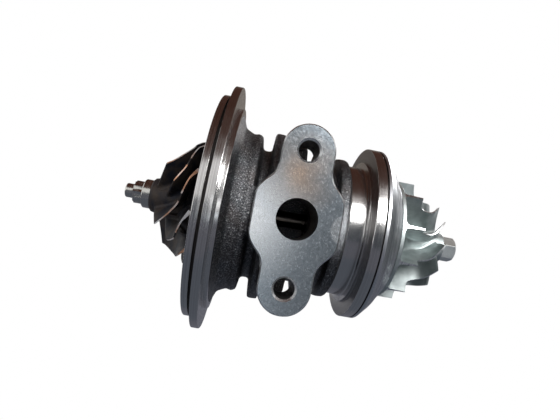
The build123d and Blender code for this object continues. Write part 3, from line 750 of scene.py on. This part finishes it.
# Drain hole, bolt holes with their chamfers, and the oil inlet
def boreCrossHoles(casting):
    drain, bolt, ear = read(padLook, "drainRadius boltRadius earPlace")
    combine(casting, crossBar("drain", drainFace - 2, -17, drain, steps=96))
    for z in (-ear, ear):
        combine(casting, crossBar("bolt", drainFace - 2, -18.5, bolt, z=z))
        combine(casting, crossBar("chamfer", drainFace - 0.2, drainFace + 0.8, bolt + 0.95, bolt - 0.05, z=z))
    face, inlet, gallery = read(housingLook, "inletFace inletRadius galleryRadius")
    combine(casting, crossBar("inlet", face + 4, 22, inlet))
    combine(casting, crossBar("gallery", 23, 12, gallery, steps=24))


def bearingHousing():
    casting = castBody()
    combine(casting, turbineFlange(), "UNION")
    combine(casting, compressorFlange(), "UNION")
    grindDrainFace(casting)
    boreShaftWay(casting)
    boreCrossHoles(casting)
    return casting


def between(values, low, high):
    return (values > low) & (values < high)


housingFinishes = ("castIron", "turnedSteel", "boredSteel", "groundFace", "milledEdge", "paintedShadeSteel")


# Which of the housing's finishes each face has, from its place and its direction
def housingFaces(piece):
    rough, turned, bored, ground, milled, groove = range(len(housingFinishes))
    turbine, compressor = turbineFlangeLook, compressorFlangeLook
    centres, normals = faceTable(piece)
    x, y, z = centres.T
    radius = np.hypot(y, z)
    numbers = np.full(len(centres), rough)
    numbers[(x < turbine["stepEnd"] + 0.02) & (radius > 8)] = turned
    numbers[(x > compressor["neckStart"] - 0.05) & (radius > 28.8)] = turned
    shoulder = np.abs(x - compressor["start"]) < 0.02
    numbers[shoulder & between(radius, compressor["stepRadius"] - 0.05, compressor["radius"] - 0.4)] = bored
    # painted shade: the relief groove and the seam step get the near-black steel
    relief = between(x, turbine["reliefStart"] - 0.02, turbine["reliefEnd"] + 0.02)
    numbers[relief & between(radius, turbine["reliefRadius"] - 0.1, turbine["pilotRadius"] - 0.02)] = groove
    seam = between(radius, compressor["seamRadius"] - 0.1, compressor["radius"] - 0.1)
    numbers[seam & (x > compressor["end"] - 0.1)] = groove
    numbers[(radius < 24.2) & (y > -18.2) & ~between(x, 24, 41.5)] = bored
    face = (np.abs(y - drainFace) < 0.02) & (normals[:, 1] < -0.95)
    numbers[face] = ground
    numbers[(y > housingLook["inletFace"] - 0.1) & (normals[:, 1] > 0.95)] = ground
    rim = between(y, drainFace, drainFace + padLook["chamfer"] + 0.12) & ~face
    numbers[rim & (np.abs(x - drainX) < 19) & (radius > 30)] = milled
    for side in (0, 1, -1):
        size = padLook["boltRadius" if side else "drainRadius"]
        away = np.hypot(x - drainX, z - side * padLook["earPlace"])
        numbers[(away < size + 0.05) & (y < -18.6) & ~face] = bored
        if side:
            numbers[between(away, size - 0.15, size + 1.05) & (y < drainFace + 0.8) & ~face] = milled
    return numbers


housing = bearingHousing()
finishSurface(housing, 30)
paintFaces(housing, housingFinishes, housingFaces(housing))
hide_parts("bearing_housing")
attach(housing, "housing")
print("bearing housing:", len(housing.data.polygons), "faces")


# Wheels: one blade is drawn, Geometry Nodes repeat it round the hub

def bladeRingTree():
    tree = bpy.data.node_groups.new("bladeRing", "GeometryNodeTree")
    sockets = {"Blade": "Geometry", "Count": "Int", "First turn": "Float", "Finish": "Material"}
    for name, kind in sockets.items():
        tree.interface.new_socket(name, in_out="INPUT", socket_type="NodeSocket" + kind)
    tree.interface.new_socket("Blades", in_out="OUTPUT", socket_type="NodeSocketGeometry")
    inputs = addNode(tree, "NodeGroupInput").outputs
    points = addNode(tree, "GeometryNodePoints", {"Count": inputs["Count"]})
    index = addNode(tree, "GeometryNodeInputIndex")
    step = addNode(tree, "ShaderNodeMath", {0: 2 * math.pi, 1: inputs["Count"]}, operation="DIVIDE")
    parts = {0: index, 1: step, 2: inputs["First turn"]}
    turn = addNode(tree, "ShaderNodeMath", parts, operation="MULTIPLY_ADD")
    angles = addNode(tree, "ShaderNodeCombineXYZ", {0: turn})
    parts = {"Points": points, "Instance": inputs["Blade"], "Rotation": angles}
    instances = addNode(tree, "GeometryNodeInstanceOnPoints", parts)
    realize = addNode(tree, "GeometryNodeRealizeInstances", {0: instances})
    paint = addNode(tree, "GeometryNodeSetMaterial", {"Geometry": realize, "Material": inputs["Finish"]})
    addNode(tree, "NodeGroupOutput", {0: paint})
    return tree


bladeRing = bladeRingTree()


def repeatBlade(blade, count, firstTurn, material):
    ring = blade.modifiers.new("ring", "NODES")
    ring.node_group = bladeRing
    values = {"Count": count, "First turn": math.radians(firstTurn), "Finish": material}
    for socket in bladeRing.interface.items_tree:
        if socket.name in values:
            ring[socket.identifier] = values[socket.name]
    bakeModifiers(blade)
    return blade


# Where rows of points lie on a blade: shares of the fillet's height, then of the height above it
filletShares = (0, 0.06, 0.16, 0.3, 0.5, 0.75, 1.0)
spanShares = (0.15, 0.32, 0.5, 0.68, 0.85, 1.0)
thinnedRows = 3  # rows over which the leading edge thins


# A curved blade between its hub line and its shroud line, with a fillet along the root
def bladePiece(name, look):
    steps = look["chordSteps"]
    places = np.linspace(0, len(look["hubLine"]) - 1, steps)
    hub = smoothLine(look["hubLine"], places)
    tip = smoothLine(look["tipLine"], places)
    bend = sorted(look["bend"])
    bendX, bendAngle = smoothLine(bend, np.linspace(0, len(bend) - 1, 200)).T
    rows = []
    for index in range(steps):
        span = tip[index] - hub[index]
        length = np.linalg.norm(span)
        fillet = min(look["fillet"], 0.4 * length)
        heights = [-look["rootDepth"]] + [fillet * share for share in filletShares]
        heights += [fillet + (length - fillet) * share for share in spanShares]
        edge = 1 - min(steps - 1 - index, thinnedRows) / thinnedRows
        thin = min(1.0, 0.45 + 0.55 * math.sqrt(1 - edge**2))
        row = []
        for height in heights:
            x, radius = hub[index] + span * (height / length)
            share = min(max(height / length, 0), 1)
            half = (look["rootThick"] * (1 - share) + look["tipThick"] * share) / 2 * thin
            inside = max(0.0, 1 - max(height, 0) / fillet)
            if look["rootStart"] <= index:
                half += fillet * (1 - math.sqrt(1 - inside**2)) * thin
            before, angle, after = np.interp((x - 0.05, x, x + 0.05), bendX, bendAngle)
            slope = (after - before) / 0.1
            turn = math.radians(angle)
            normal = Vector((-radius * math.radians(slope), math.sin(turn), math.cos(turn))).normalized()
            centre = Vector(clockPoint(x, radius, angle))
            row.append((centre + normal * half, centre - normal * half))
        rows.append(row)
    levels = len(rows[0])
    points = [tuple(pair[side]) for side in (0, 1) for row in rows for pair in row]

    def corner(side, index, level):
        return side * steps * levels + index * levels + level

    def bridge(first, second):
        return [corner(0, *first), corner(0, *second), corner(1, *second), corner(1, *first)]

    faces = []
    for side in (0, 1):
        for index in range(steps - 1):
            for level in range(levels - 1):
                square = ((index, level), (index + 1, level), (index + 1, level + 1), (index, level + 1))
                faces.append([corner(side, *place) for place in square])
    for index in range(steps - 1):
        for level in (0, levels - 1):
            faces.append(bridge((index, level), (index + 1, level)))
    for level in range(levels - 1):
        for index in (0, steps - 1):
            faces.append(bridge((index, level), (index, level + 1)))
    return newPiece(name, points, faces)


# Marks the blade edges that were turned to the shroud line
def edgeFaces(piece, line, reach=0.12):
    centres, normals = faceTable(piece)
    radius = np.hypot(centres[:, 1], centres[:, 2])
    outward = (centres[:, 1] * normals[:, 1] + centres[:, 2] * normals[:, 2]) / np.maximum(radius, 1e-6)
    near = np.zeros(len(centres), bool)
    for (x0, r0), (x1, r1) in zip(line, line[1:]):
        along = np.array([x1 - x0, r1 - r0])
        length = np.linalg.norm(along)
        along /= length
        offset = np.stack([centres[:, 0] - x0, radius - r0], 1)
        away = np.abs(offset @ np.array([-along[1], along[0]]))
        facing = np.abs(normals[:, 0] * -along[1] + outward * along[0])
        near |= between(offset @ along, -0.2, length + 0.2) & (away < reach) & (facing > 0.75)
    return near


# Lines are (x, radius) from the back of the wheel on, and the bend is (x, clock angle)
compressorLook = {
    "blades": 11,
    "chordSteps": 44,
    "rootStart": 0,
    "fillet": 1.2,
    "rootDepth": 1.0,
    "rootThick": 1.3,
    "tipThick": 0.6,
    "boreRadius": 3.02,
    "hubLine": [
        (78.9, 27), (79.4, 24), (80.4, 20.5), (82.3, 16), (85, 12.7), (89, 10.2), (94, 8.6),
        (98.4, 7.9), (101.5, 7.5),
    ],
    "tipLine": [
        (86.8, 27), (87.3, 24.2), (88, 22), (89.6, 20.8), (92, 20), (94.5, 19.6), (96.8, 19.5),
        (98.4, 19.5), (99.5, 19.5),
    ],
    "bend": [
        (76.3, 12.5), (80.5, 12.5), (84.5, 12.5), (88.5, 12.5), (92, 12.9), (94.5, 16), (96.4, 22),
        (98, 29), (99.5, 35.5), (102, 46.5), (104, 55),
    ],
}


def compressorWheel():
    hub = [(72.2, 0), (72.2, 8, 0.3), (77.3, 27, 0.1), (78.8, 27, 0.15), (79.3, 24.2), (80.4, 20.5)]
    hub += [(81.5, 17.6), (83, 14.8), (85, 12.6), (87.5, 10.9), (90.5, 9.6), (94, 8.6), (99, 7.7)]
    hub += [(105, 7.2, 0.4), (105, 0)]
    wheel = turnedPiece("compressorWheel", hub, 200)
    blade = bladePiece("blade", compressorLook)
    combine(wheel, repeatBlade(blade, compressorLook["blades"], 0.0, finishes["castAluminium"]), "UNION")
    combine(wheel, barPiece("bore", (70, 0, 0), (107, 0, 0), compressorLook["boreRadius"], steps=48))
    return wheel


wheel = compressorWheel()
finishSurface(wheel, 35)
edges = edgeFaces(wheel, [(78.8, 27)] + compressorLook["tipLine"])
edges |= faceTable(wheel)[0][:, 0] > 104.6  # the end that the nut sits on
paintFaces(wheel, ("castAluminium", "milledEdge"), edges)
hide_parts("compressor_wheel")
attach(wheel, "rotor")
print("compressor wheel:", len(wheel.data.polygons), "faces")


turbineLook = {
    "pairs": 5,
    "chordSteps": 44,
    "rootStart": 12,
    "fillet": 1.6,
    "rootDepth": 1.0,
    "rootThick": 1.7,
    "tipThick": 0.55,
    "hubLine": [
        (-7.5, 28), (-7.5, 25), (-7.6, 21.8), (-9.6, 19.2), (-11.6, 15.9), (-14.2, 12.6), (-18.2, 10.1),
        (-22.4, 8.8), (-26.4, 8.1),
    ],
    "tipLine": [
        (-10.5, 28), (-11.4, 27.3), (-12.6, 26.2), (-14, 24.8), (-16, 23.5), (-18, 22.5),
        (-20, 21.8), (-21.3, 21.8), (-22.3, 21.8),
    ],
    "bend": [
        (-5.5, 31), (-7.5, 27), (-9, 22.5), (-10.5, 17.3), (-12.1, 7.3), (-13.3, -3.6), (-16.1, -14),
        (-20, -26.8), (-22.3, -33.8), (-26, -44), (-29, -51),
    ],
}
shortBladeLook = {
    **turbineLook,
    "hubLine": [
        (-7.5, 28), (-7.5, 25), (-7.6, 21.8), (-9.4, 19.5), (-11.2, 16.5), (-13.2, 13.6), (-15.6, 11.5),
        (-18.2, 10.1), (-21.4, 9),
    ],
    "tipLine": [
        (-10.5, 28), (-11.2, 27.5), (-12, 26.8), (-13, 25.8), (-14, 24.8), (-15, 24.1),
        (-16, 23.3), (-16.8, 22.6), (-17.4, 21.9),
    ],
}
noseLook = {"drivePoints": 12, "driveRadius": 5.1, "driveEnd": -37.2, "stubRadius": 3.2, "stubEnd": -41.2}


# Nose of the turbine wheel: the twelve-point drive and the stub
def addNose(wheel):
    points, outer = read(noseLook, "drivePoints driveRadius")
    inner = outer * math.cos(math.radians(30)) / math.cos(math.radians(15))
    star = []
    for point in range(2 * points):
        turn = math.radians(180 / points * point)
        reach = inner if point % 2 else outer
        star.append((reach * math.cos(turn), reach * math.sin(turn)))
    drive = [[(x, y, z) for y, z in star] for x in (noseLook["driveEnd"], -32.5)]
    combine(wheel, prismPiece("drive", *drive), "UNION")
    radius, end = read(noseLook, "stubRadius stubEnd")
    stub = [(-36, 0), (-36, radius), (end, radius, 0.7), (end, 0)]
    combine(wheel, turnedPiece("stub", stub, 64), "UNION")


def turbineWheel():
    hub = [(-7.2, 0), (-7.2, 21.5, 0.3), (-8.8, 21.5, 0.3), (-9.5, 19.6), (-10.6, 17.5), (-12, 15)]
    hub += [(-13.6, 13.2), (-15.5, 11.6), (-17.6, 10.4), (-22.4, 8.8), (-28.6, 7.6, 0.3), (-29.4, 6.8)]
    hub += [(-29.4, 6.5), (-32.6, 6.5, 0.1), (-33, 6.1), (-33, 0)]
    wheel = turnedPiece("turbineWheel", hub, 180)
    for look, firstTurn in ((turbineLook, 0.0), (shortBladeLook, 180 / turbineLook["pairs"])):
        blade = bladePiece("blade", look)
        combine(wheel, repeatBlade(blade, look["pairs"], firstTurn, finishes["turbineAlloy"]), "UNION")
    addNose(wheel)
    return wheel


wheel = turbineWheel()
finishSurface(wheel, 35)
edges = edgeFaces(wheel, [(-7.5, 28)] + turbineLook["tipLine"])
edges |= edgeFaces(wheel, shortBladeLook["tipLine"])
nose = faceTable(wheel)[0][:, 0] < -29.3
paintFaces(wheel, ("turbineAlloy", "turbineEdge", "noseSteel"), np.where(nose, 2, edges))
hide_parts("turbine_wheel")
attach(wheel, "rotor")
print("turbine wheel:", len(wheel.data.polygons), "faces")


# Turned pieces that show: backplate, nut, shaft and heat shield

backplateLook = {
    "steps": 200,
    "grooveDepth": 0.05,
    "groovePitch": 0.85,
    "screws": 3,
    "firstScrew": 60,
    "screwCircle": 18.8,
    "holeRadius": 2.06,
    "headRadius": 4.06,
    "headPlace": 73.2,
}


# Breaks a line into tool marks: flats with a shallow dip at the end of each
def groovedLine(line):
    dip = backplateLook["grooveDepth"]
    grooved = []
    for (x0, r0), (x1, r1) in zip(line, line[1:]):
        count = max(1, round(math.hypot(x1 - x0, r1 - r0) / backplateLook["groovePitch"]))
        for step in range(count):
            for share, depth in ((step / count, 0), ((step + 0.8) / count, dip)):
                grooved.append((x0 + (x1 - x0) * share - depth, r0 + (r1 - r0) * share - depth))
    return grooved


def drillScrewHoles(plate):
    look = backplateLook
    for index in range(look["screws"]):
        angle = look["firstScrew"] + index * 360 / look["screws"]
        places = (59.5, 71.14, 71.2, look["headPlace"], 77.5)
        low, sink, high, seat, top = [clockPoint(x, look["screwCircle"], angle) for x in places]
        combine(plate, barPiece("hole", low, high, look["holeRadius"], steps=32))
        combine(plate, barPiece("sink", sink, seat, 2.0, look["headRadius"], steps=32))
        combine(plate, barPiece("clear", seat, top, look["headRadius"], steps=32))


def backplate():
    front = [(68, 38.7), (71.5, 35.1), (72.5, 33.9), (73.5, 32.2), (74.5, 31), (75.5, 29.7), (76.5, 28.2)]
    outline = [(60.4, 15.2), (60.4, 23.95), (62.6, 23.95), (62.6, 22.3), (64.8, 22.3), (64.8, 23.95)]
    outline += [(66.6, 23.95), (66.6, 37.9), (66.85, 37.9), (66.85, 38.7, 0.15)]
    outline += groovedLine(front) + [front[-1], (76.8, 27.8), (76.8, 27), (71.7, 8), (71.7, 7.3)]
    outline += [(63.6, 7.3), (63.6, 11.5), (65, 11.5), (65, 15.2)]
    plate = turnedPiece("backplateTurned", outline, backplateLook["steps"])
    drillScrewHoles(plate)
    return plate


plate = backplate()
finishSurface(plate, 30)
x, y, z = faceTable(plate)[0].T
# painted shade: the plate's face at the seam and its spigot get the near-black steel
paintFaces(plate, ("turnedAluminium", "paintedShadeSteel"), (x < 66.95) & (np.hypot(y, z) < 38.6))
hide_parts("backplate")
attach(plate, "housing")

nutLook = {"acrossFlats": 10.0, "turn": 12.0, "start": 105.0, "end": 111.8, "chamferRadius": 5.95}


def compressorNut():
    start, end, chamfer = read(nutLook, "start end chamferRadius")
    reach = nutLook["acrossFlats"] / math.sqrt(3)
    corners = []
    for index in range(6):
        turn = math.radians(30 + nutLook["turn"] + 60 * index)
        corners.append((reach * math.cos(turn), reach * math.sin(turn), 0.12))
    outline = roundedLine(corners, 3)
    layers = [[(x, y, z) for y, z in outline] for x in (start, end)]
    nut = prismPiece("compressorNutHex", *layers)
    limit = [(start, 0), (start, 5.0), (105.6, chamfer), (111.0, chamfer), (end, 4.9, 0.15), (end, 0)]
    combine(nut, turnedPiece("limit", limit, 96), "INTERSECT")
    bore = [(104, 0), (104, 3.02), (111.3, 3.02), (112, 3.7), (112, 0)]
    combine(nut, turnedPiece("bore", bore, 64))
    return nut


nut = compressorNut()
finishSurface(nut, 20)
paintFaces(nut, ["nutSteel"])
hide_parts("compressor_nut")
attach(nut, "rotor")

shaftLook = {"steps": 96, "threadPitch": 1.0, "threadRadius": 3.0, "threadRoot": 2.75}


def rotorShaft():
    pitch, crest, root = read(shaftLook, "threadPitch threadRadius threadRoot")
    outline = [(-7.2, 0), (-7.2, 8), (0.6, 8), (0.6, 6.3), (2.4, 6.3), (2.4, 8), (5, 8, 0.5)]
    outline += [(5, 5.2), (6.2, 4), (21.4, 4, 0.2), (22, 3.7, 0.2), (39.5, 3.7, 0.2)]
    outline += [(40.1, 4, 0.2), (50.8, 4, 0.2), (50.8, crest)]
    for x in np.arange(105.6, 110, pitch):
        outline += [(x, crest), (x + 0.5, root)]
    outline += [(110.7, crest), (111.2, 2.5), (111.2, 0)]
    return turnedPiece("rotorShaftTurned", outline, shaftLook["steps"], 3)


shaft = rotorShaft()
finishSurface(shaft, 30)
# painted shade: the shaft is painted near-black for the shade inside the housing
paintFaces(shaft, ["paintedShadeShaftSteel"])
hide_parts("rotor_shaft")
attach(shaft, "rotor")

shieldLook = {"steps": 160, "rimRadius": 43.6, "holeRadius": 10.5}


def heatShield():
    rim, hole = read(shieldLook, "rimRadius holeRadius")
    outline = [(-1.6, rim, 0.3), (-1.6, 37, 1), (-5.6, 33, 1), (-5.6, hole, 0.3)]
    outline += [(-6.6, hole, 0.3), (-6.6, 33.4, 1.6), (-2.6, 37.4, 0.6), (-2.6, rim, 0.3)]
    return turnedPiece("heatShieldPressed", outline, shieldLook["steps"])


shield = heatShield()
finishSurface(shield, 30)
paintFaces(shield, ["pressedSheet"])
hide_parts("heat_shield")
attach(shield, "housing")
print("turned pieces done")


# Pieces kept from the frame get their finishes

keptPieces = {
    "springSteel": ["turbine_seal_ring", "compressor_seal_ring", "thrust_pins"],
    "bearingBronze": ["turbine_bush", "compressor_bush", "thrust_bearing"],
    "paintedShadeShaftSteel": ["thrust_collar", "oil_flinger"],
    "pressedSheet": ["oil_deflector"],
    "blackRubber": ["backplate_o_ring"],
    "screwSteel": ["backplate_screws"],
}
for bush in ("turbine_bush", "compressor_bush"):
    keptPieces["springSteel"] += [bush + "_outer_clip", bush + "_inner_clip"]
for finishName, nodes in keptPieces.items():
    for node in nodes:
        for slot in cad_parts[node].material_slots:
            slot.material = finishes[finishName]
print("kept pieces painted:", sum(len(nodes) for nodes in keptPieces.values()))


# Stage: pale floor, white background, soft lamps, and cards that only reflections see

stageLook = {"floorZ": -0.42, "floorSize": 6.0, "floorColour": (0.80, 0.80, 0.80), "worldGrey": 0.55}
squareCorners = ((-1, -1), (1, -1), (1, 1), (-1, 1))


# Shows white to the camera and to mirrors, and another shader to the light that falls on the pieces
def splitRays(tree, white, falling):
    paths = addNode(tree, "ShaderNodeLightPath").outputs
    seen = paths["Is Camera Ray"]
    for kind in ("Is Glossy Ray", "Is Transmission Ray"):
        seen = addNode(tree, "ShaderNodeMath", {0: seen, 1: paths[kind]}, operation="MAXIMUM")
    return addNode(tree, "ShaderNodeMixShader", {0: seen, 1: falling, 2: white})


def stagePanel(name, corners, material):
    mesh = bpy.data.meshes.new(name)
    mesh.from_pydata(corners, [], [(0, 1, 2, 3)])
    mesh.materials.append(material)
    return addObject(name, mesh)


def stageWorld():
    world = bpy.data.worlds.new("paleRoom")
    bpy.context.scene.world = world
    tree = emptyTree(world)
    white = addNode(tree, "ShaderNodeBackground", {"Color": (1, 1, 1, 1)})
    grey = addNode(tree, "ShaderNodeBackground", {"Color": (stageLook["worldGrey"],) * 3 + (1,)})
    addNode(tree, "ShaderNodeOutputWorld", {"Surface": splitRays(tree, white, grey)})


def stageFloor():
    half = stageLook["floorSize"] / 2
    corners = [(x * half, y * half, stageLook["floorZ"]) for x, y in squareCorners]
    material = bpy.data.materials.new("paleFloor")
    tree = emptyTree(material)
    matt = addNode(tree, "ShaderNodeBsdfDiffuse", {"Color": (*stageLook["floorColour"], 1)})
    white = addNode(tree, "ShaderNodeEmission")
    addNode(tree, "ShaderNodeOutputMaterial", {"Surface": splitRays(tree, white, matt)})
    return stagePanel("paleFloor", corners, material)


# Cards that the bright metal mirrors: centre, half extents and colour of each
cards = {
    "ceilingCard": ((0.03, 0.07, 0.53), (0.7, 0.73, 0), (0.075, 0.034, 0.024)),
    "tableCard": ((0.03, -0.2, -0.30), (2.5, 2.3, 0), (0.15, 0.155, 0.185)),
    "underCard": ((0.03, -0.06, -0.28), (0.5, 0.22, 0), (0.12, 0.135, 0.165)),
    "leftWall": ((-0.67, -1.30, -0.12), (0.60, 0, 0.22), (0.12, 0.13, 0.15)),
    "windowCard": ((-0.005, -1.30, 0.045), (0.085, 0, 0.095), (2.7, 2.75, 2.8)),
    "sillCard": ((0.01, -1.30, -0.26), (0.075, 0, 0.075), (2.3, 2.5, 2.65)),
    "rightWall": ((0.55, -0.80, -0.08), (0.45, 0, 0.15), (0.07, 0.08, 0.095)),
    "frontCard": ((0.27, -1.34, 0.34), (0.31, 0, 0.27), (0.12, 0.13, 0.14)),
    "farCard": ((1.15, -0.1, 0.10), (0, 0.75, 0.42), (0.10, 0.11, 0.115)),
    "backCard": ((-0.1, 1.50, 0.55), (1.3, 0, 0.50), (0.20, 0.175, 0.155)),
}


def reflectorCard(name):
    centre, half, colour = cards[name]
    first, second = [axis for axis in range(3) if half[axis]]
    corners = []
    for along, across in squareCorners:
        corner = list(centre)
        corner[first] += along * half[first]
        corner[second] += across * half[second]
        corners.append(corner)
    material = bpy.data.materials.new(name)
    tree = emptyTree(material)
    glow = addNode(tree, "ShaderNodeEmission", {"Color": (*colour, 1)})
    addNode(tree, "ShaderNodeOutputMaterial", {"Surface": glow})
    card = stagePanel(name, corners, material)
    for ray in ("camera", "diffuse", "shadow", "transmission", "volume_scatter"):
        setattr(card, "visible_" + ray, False)
    return card


lampAim = (0.035, 0, 0)
lamps = {
    "keyLamp": {"place": (0.32, -0.60, 0.44), "size": 0.42, "power": 7.5},
    "fillLamp": {"place": (-0.55, -0.45, 0.10), "size": 0.45, "power": 0.5},
    "topLamp": {"place": (0.62, 0.62, 0.49), "size": 0.35, "power": 2.5},
}


def softLamp(name):
    look = lamps[name]
    light = bpy.data.lights.new(name, "AREA")
    light.size = look["size"]
    light.energy = look["power"]
    lamp = addObject(name, light)
    lamp.location = look["place"]
    aim = Vector(lampAim) - lamp.location
    lamp.rotation_euler = aim.to_track_quat("-Z", "Y").to_euler()


cameraLook = {"place": (0.01630, -0.19187, -0.00423), "turn": (92.438, -10.512, -4.108), "lens": 26.78}


def stageCamera():
    view = bpy.data.cameras.new("photoView")
    view.sensor_fit = "HORIZONTAL"
    view.sensor_width = 36.0
    view.lens = cameraLook["lens"]
    view.clip_start = 0.01
    view.clip_end = 20.0
    camera = addObject("photoView", view)
    camera.location = cameraLook["place"]
    camera.rotation_euler = [math.radians(angle) for angle in cameraLook["turn"]]
    bpy.context.scene.camera = camera


stageWorld()
stageFloor()
[reflectorCard(name) for name in cards]
for lampName in lamps:
    softLamp(lampName)
stageCamera()
bpy.context.scene.view_settings.view_transform = "Standard"
print("stage set")
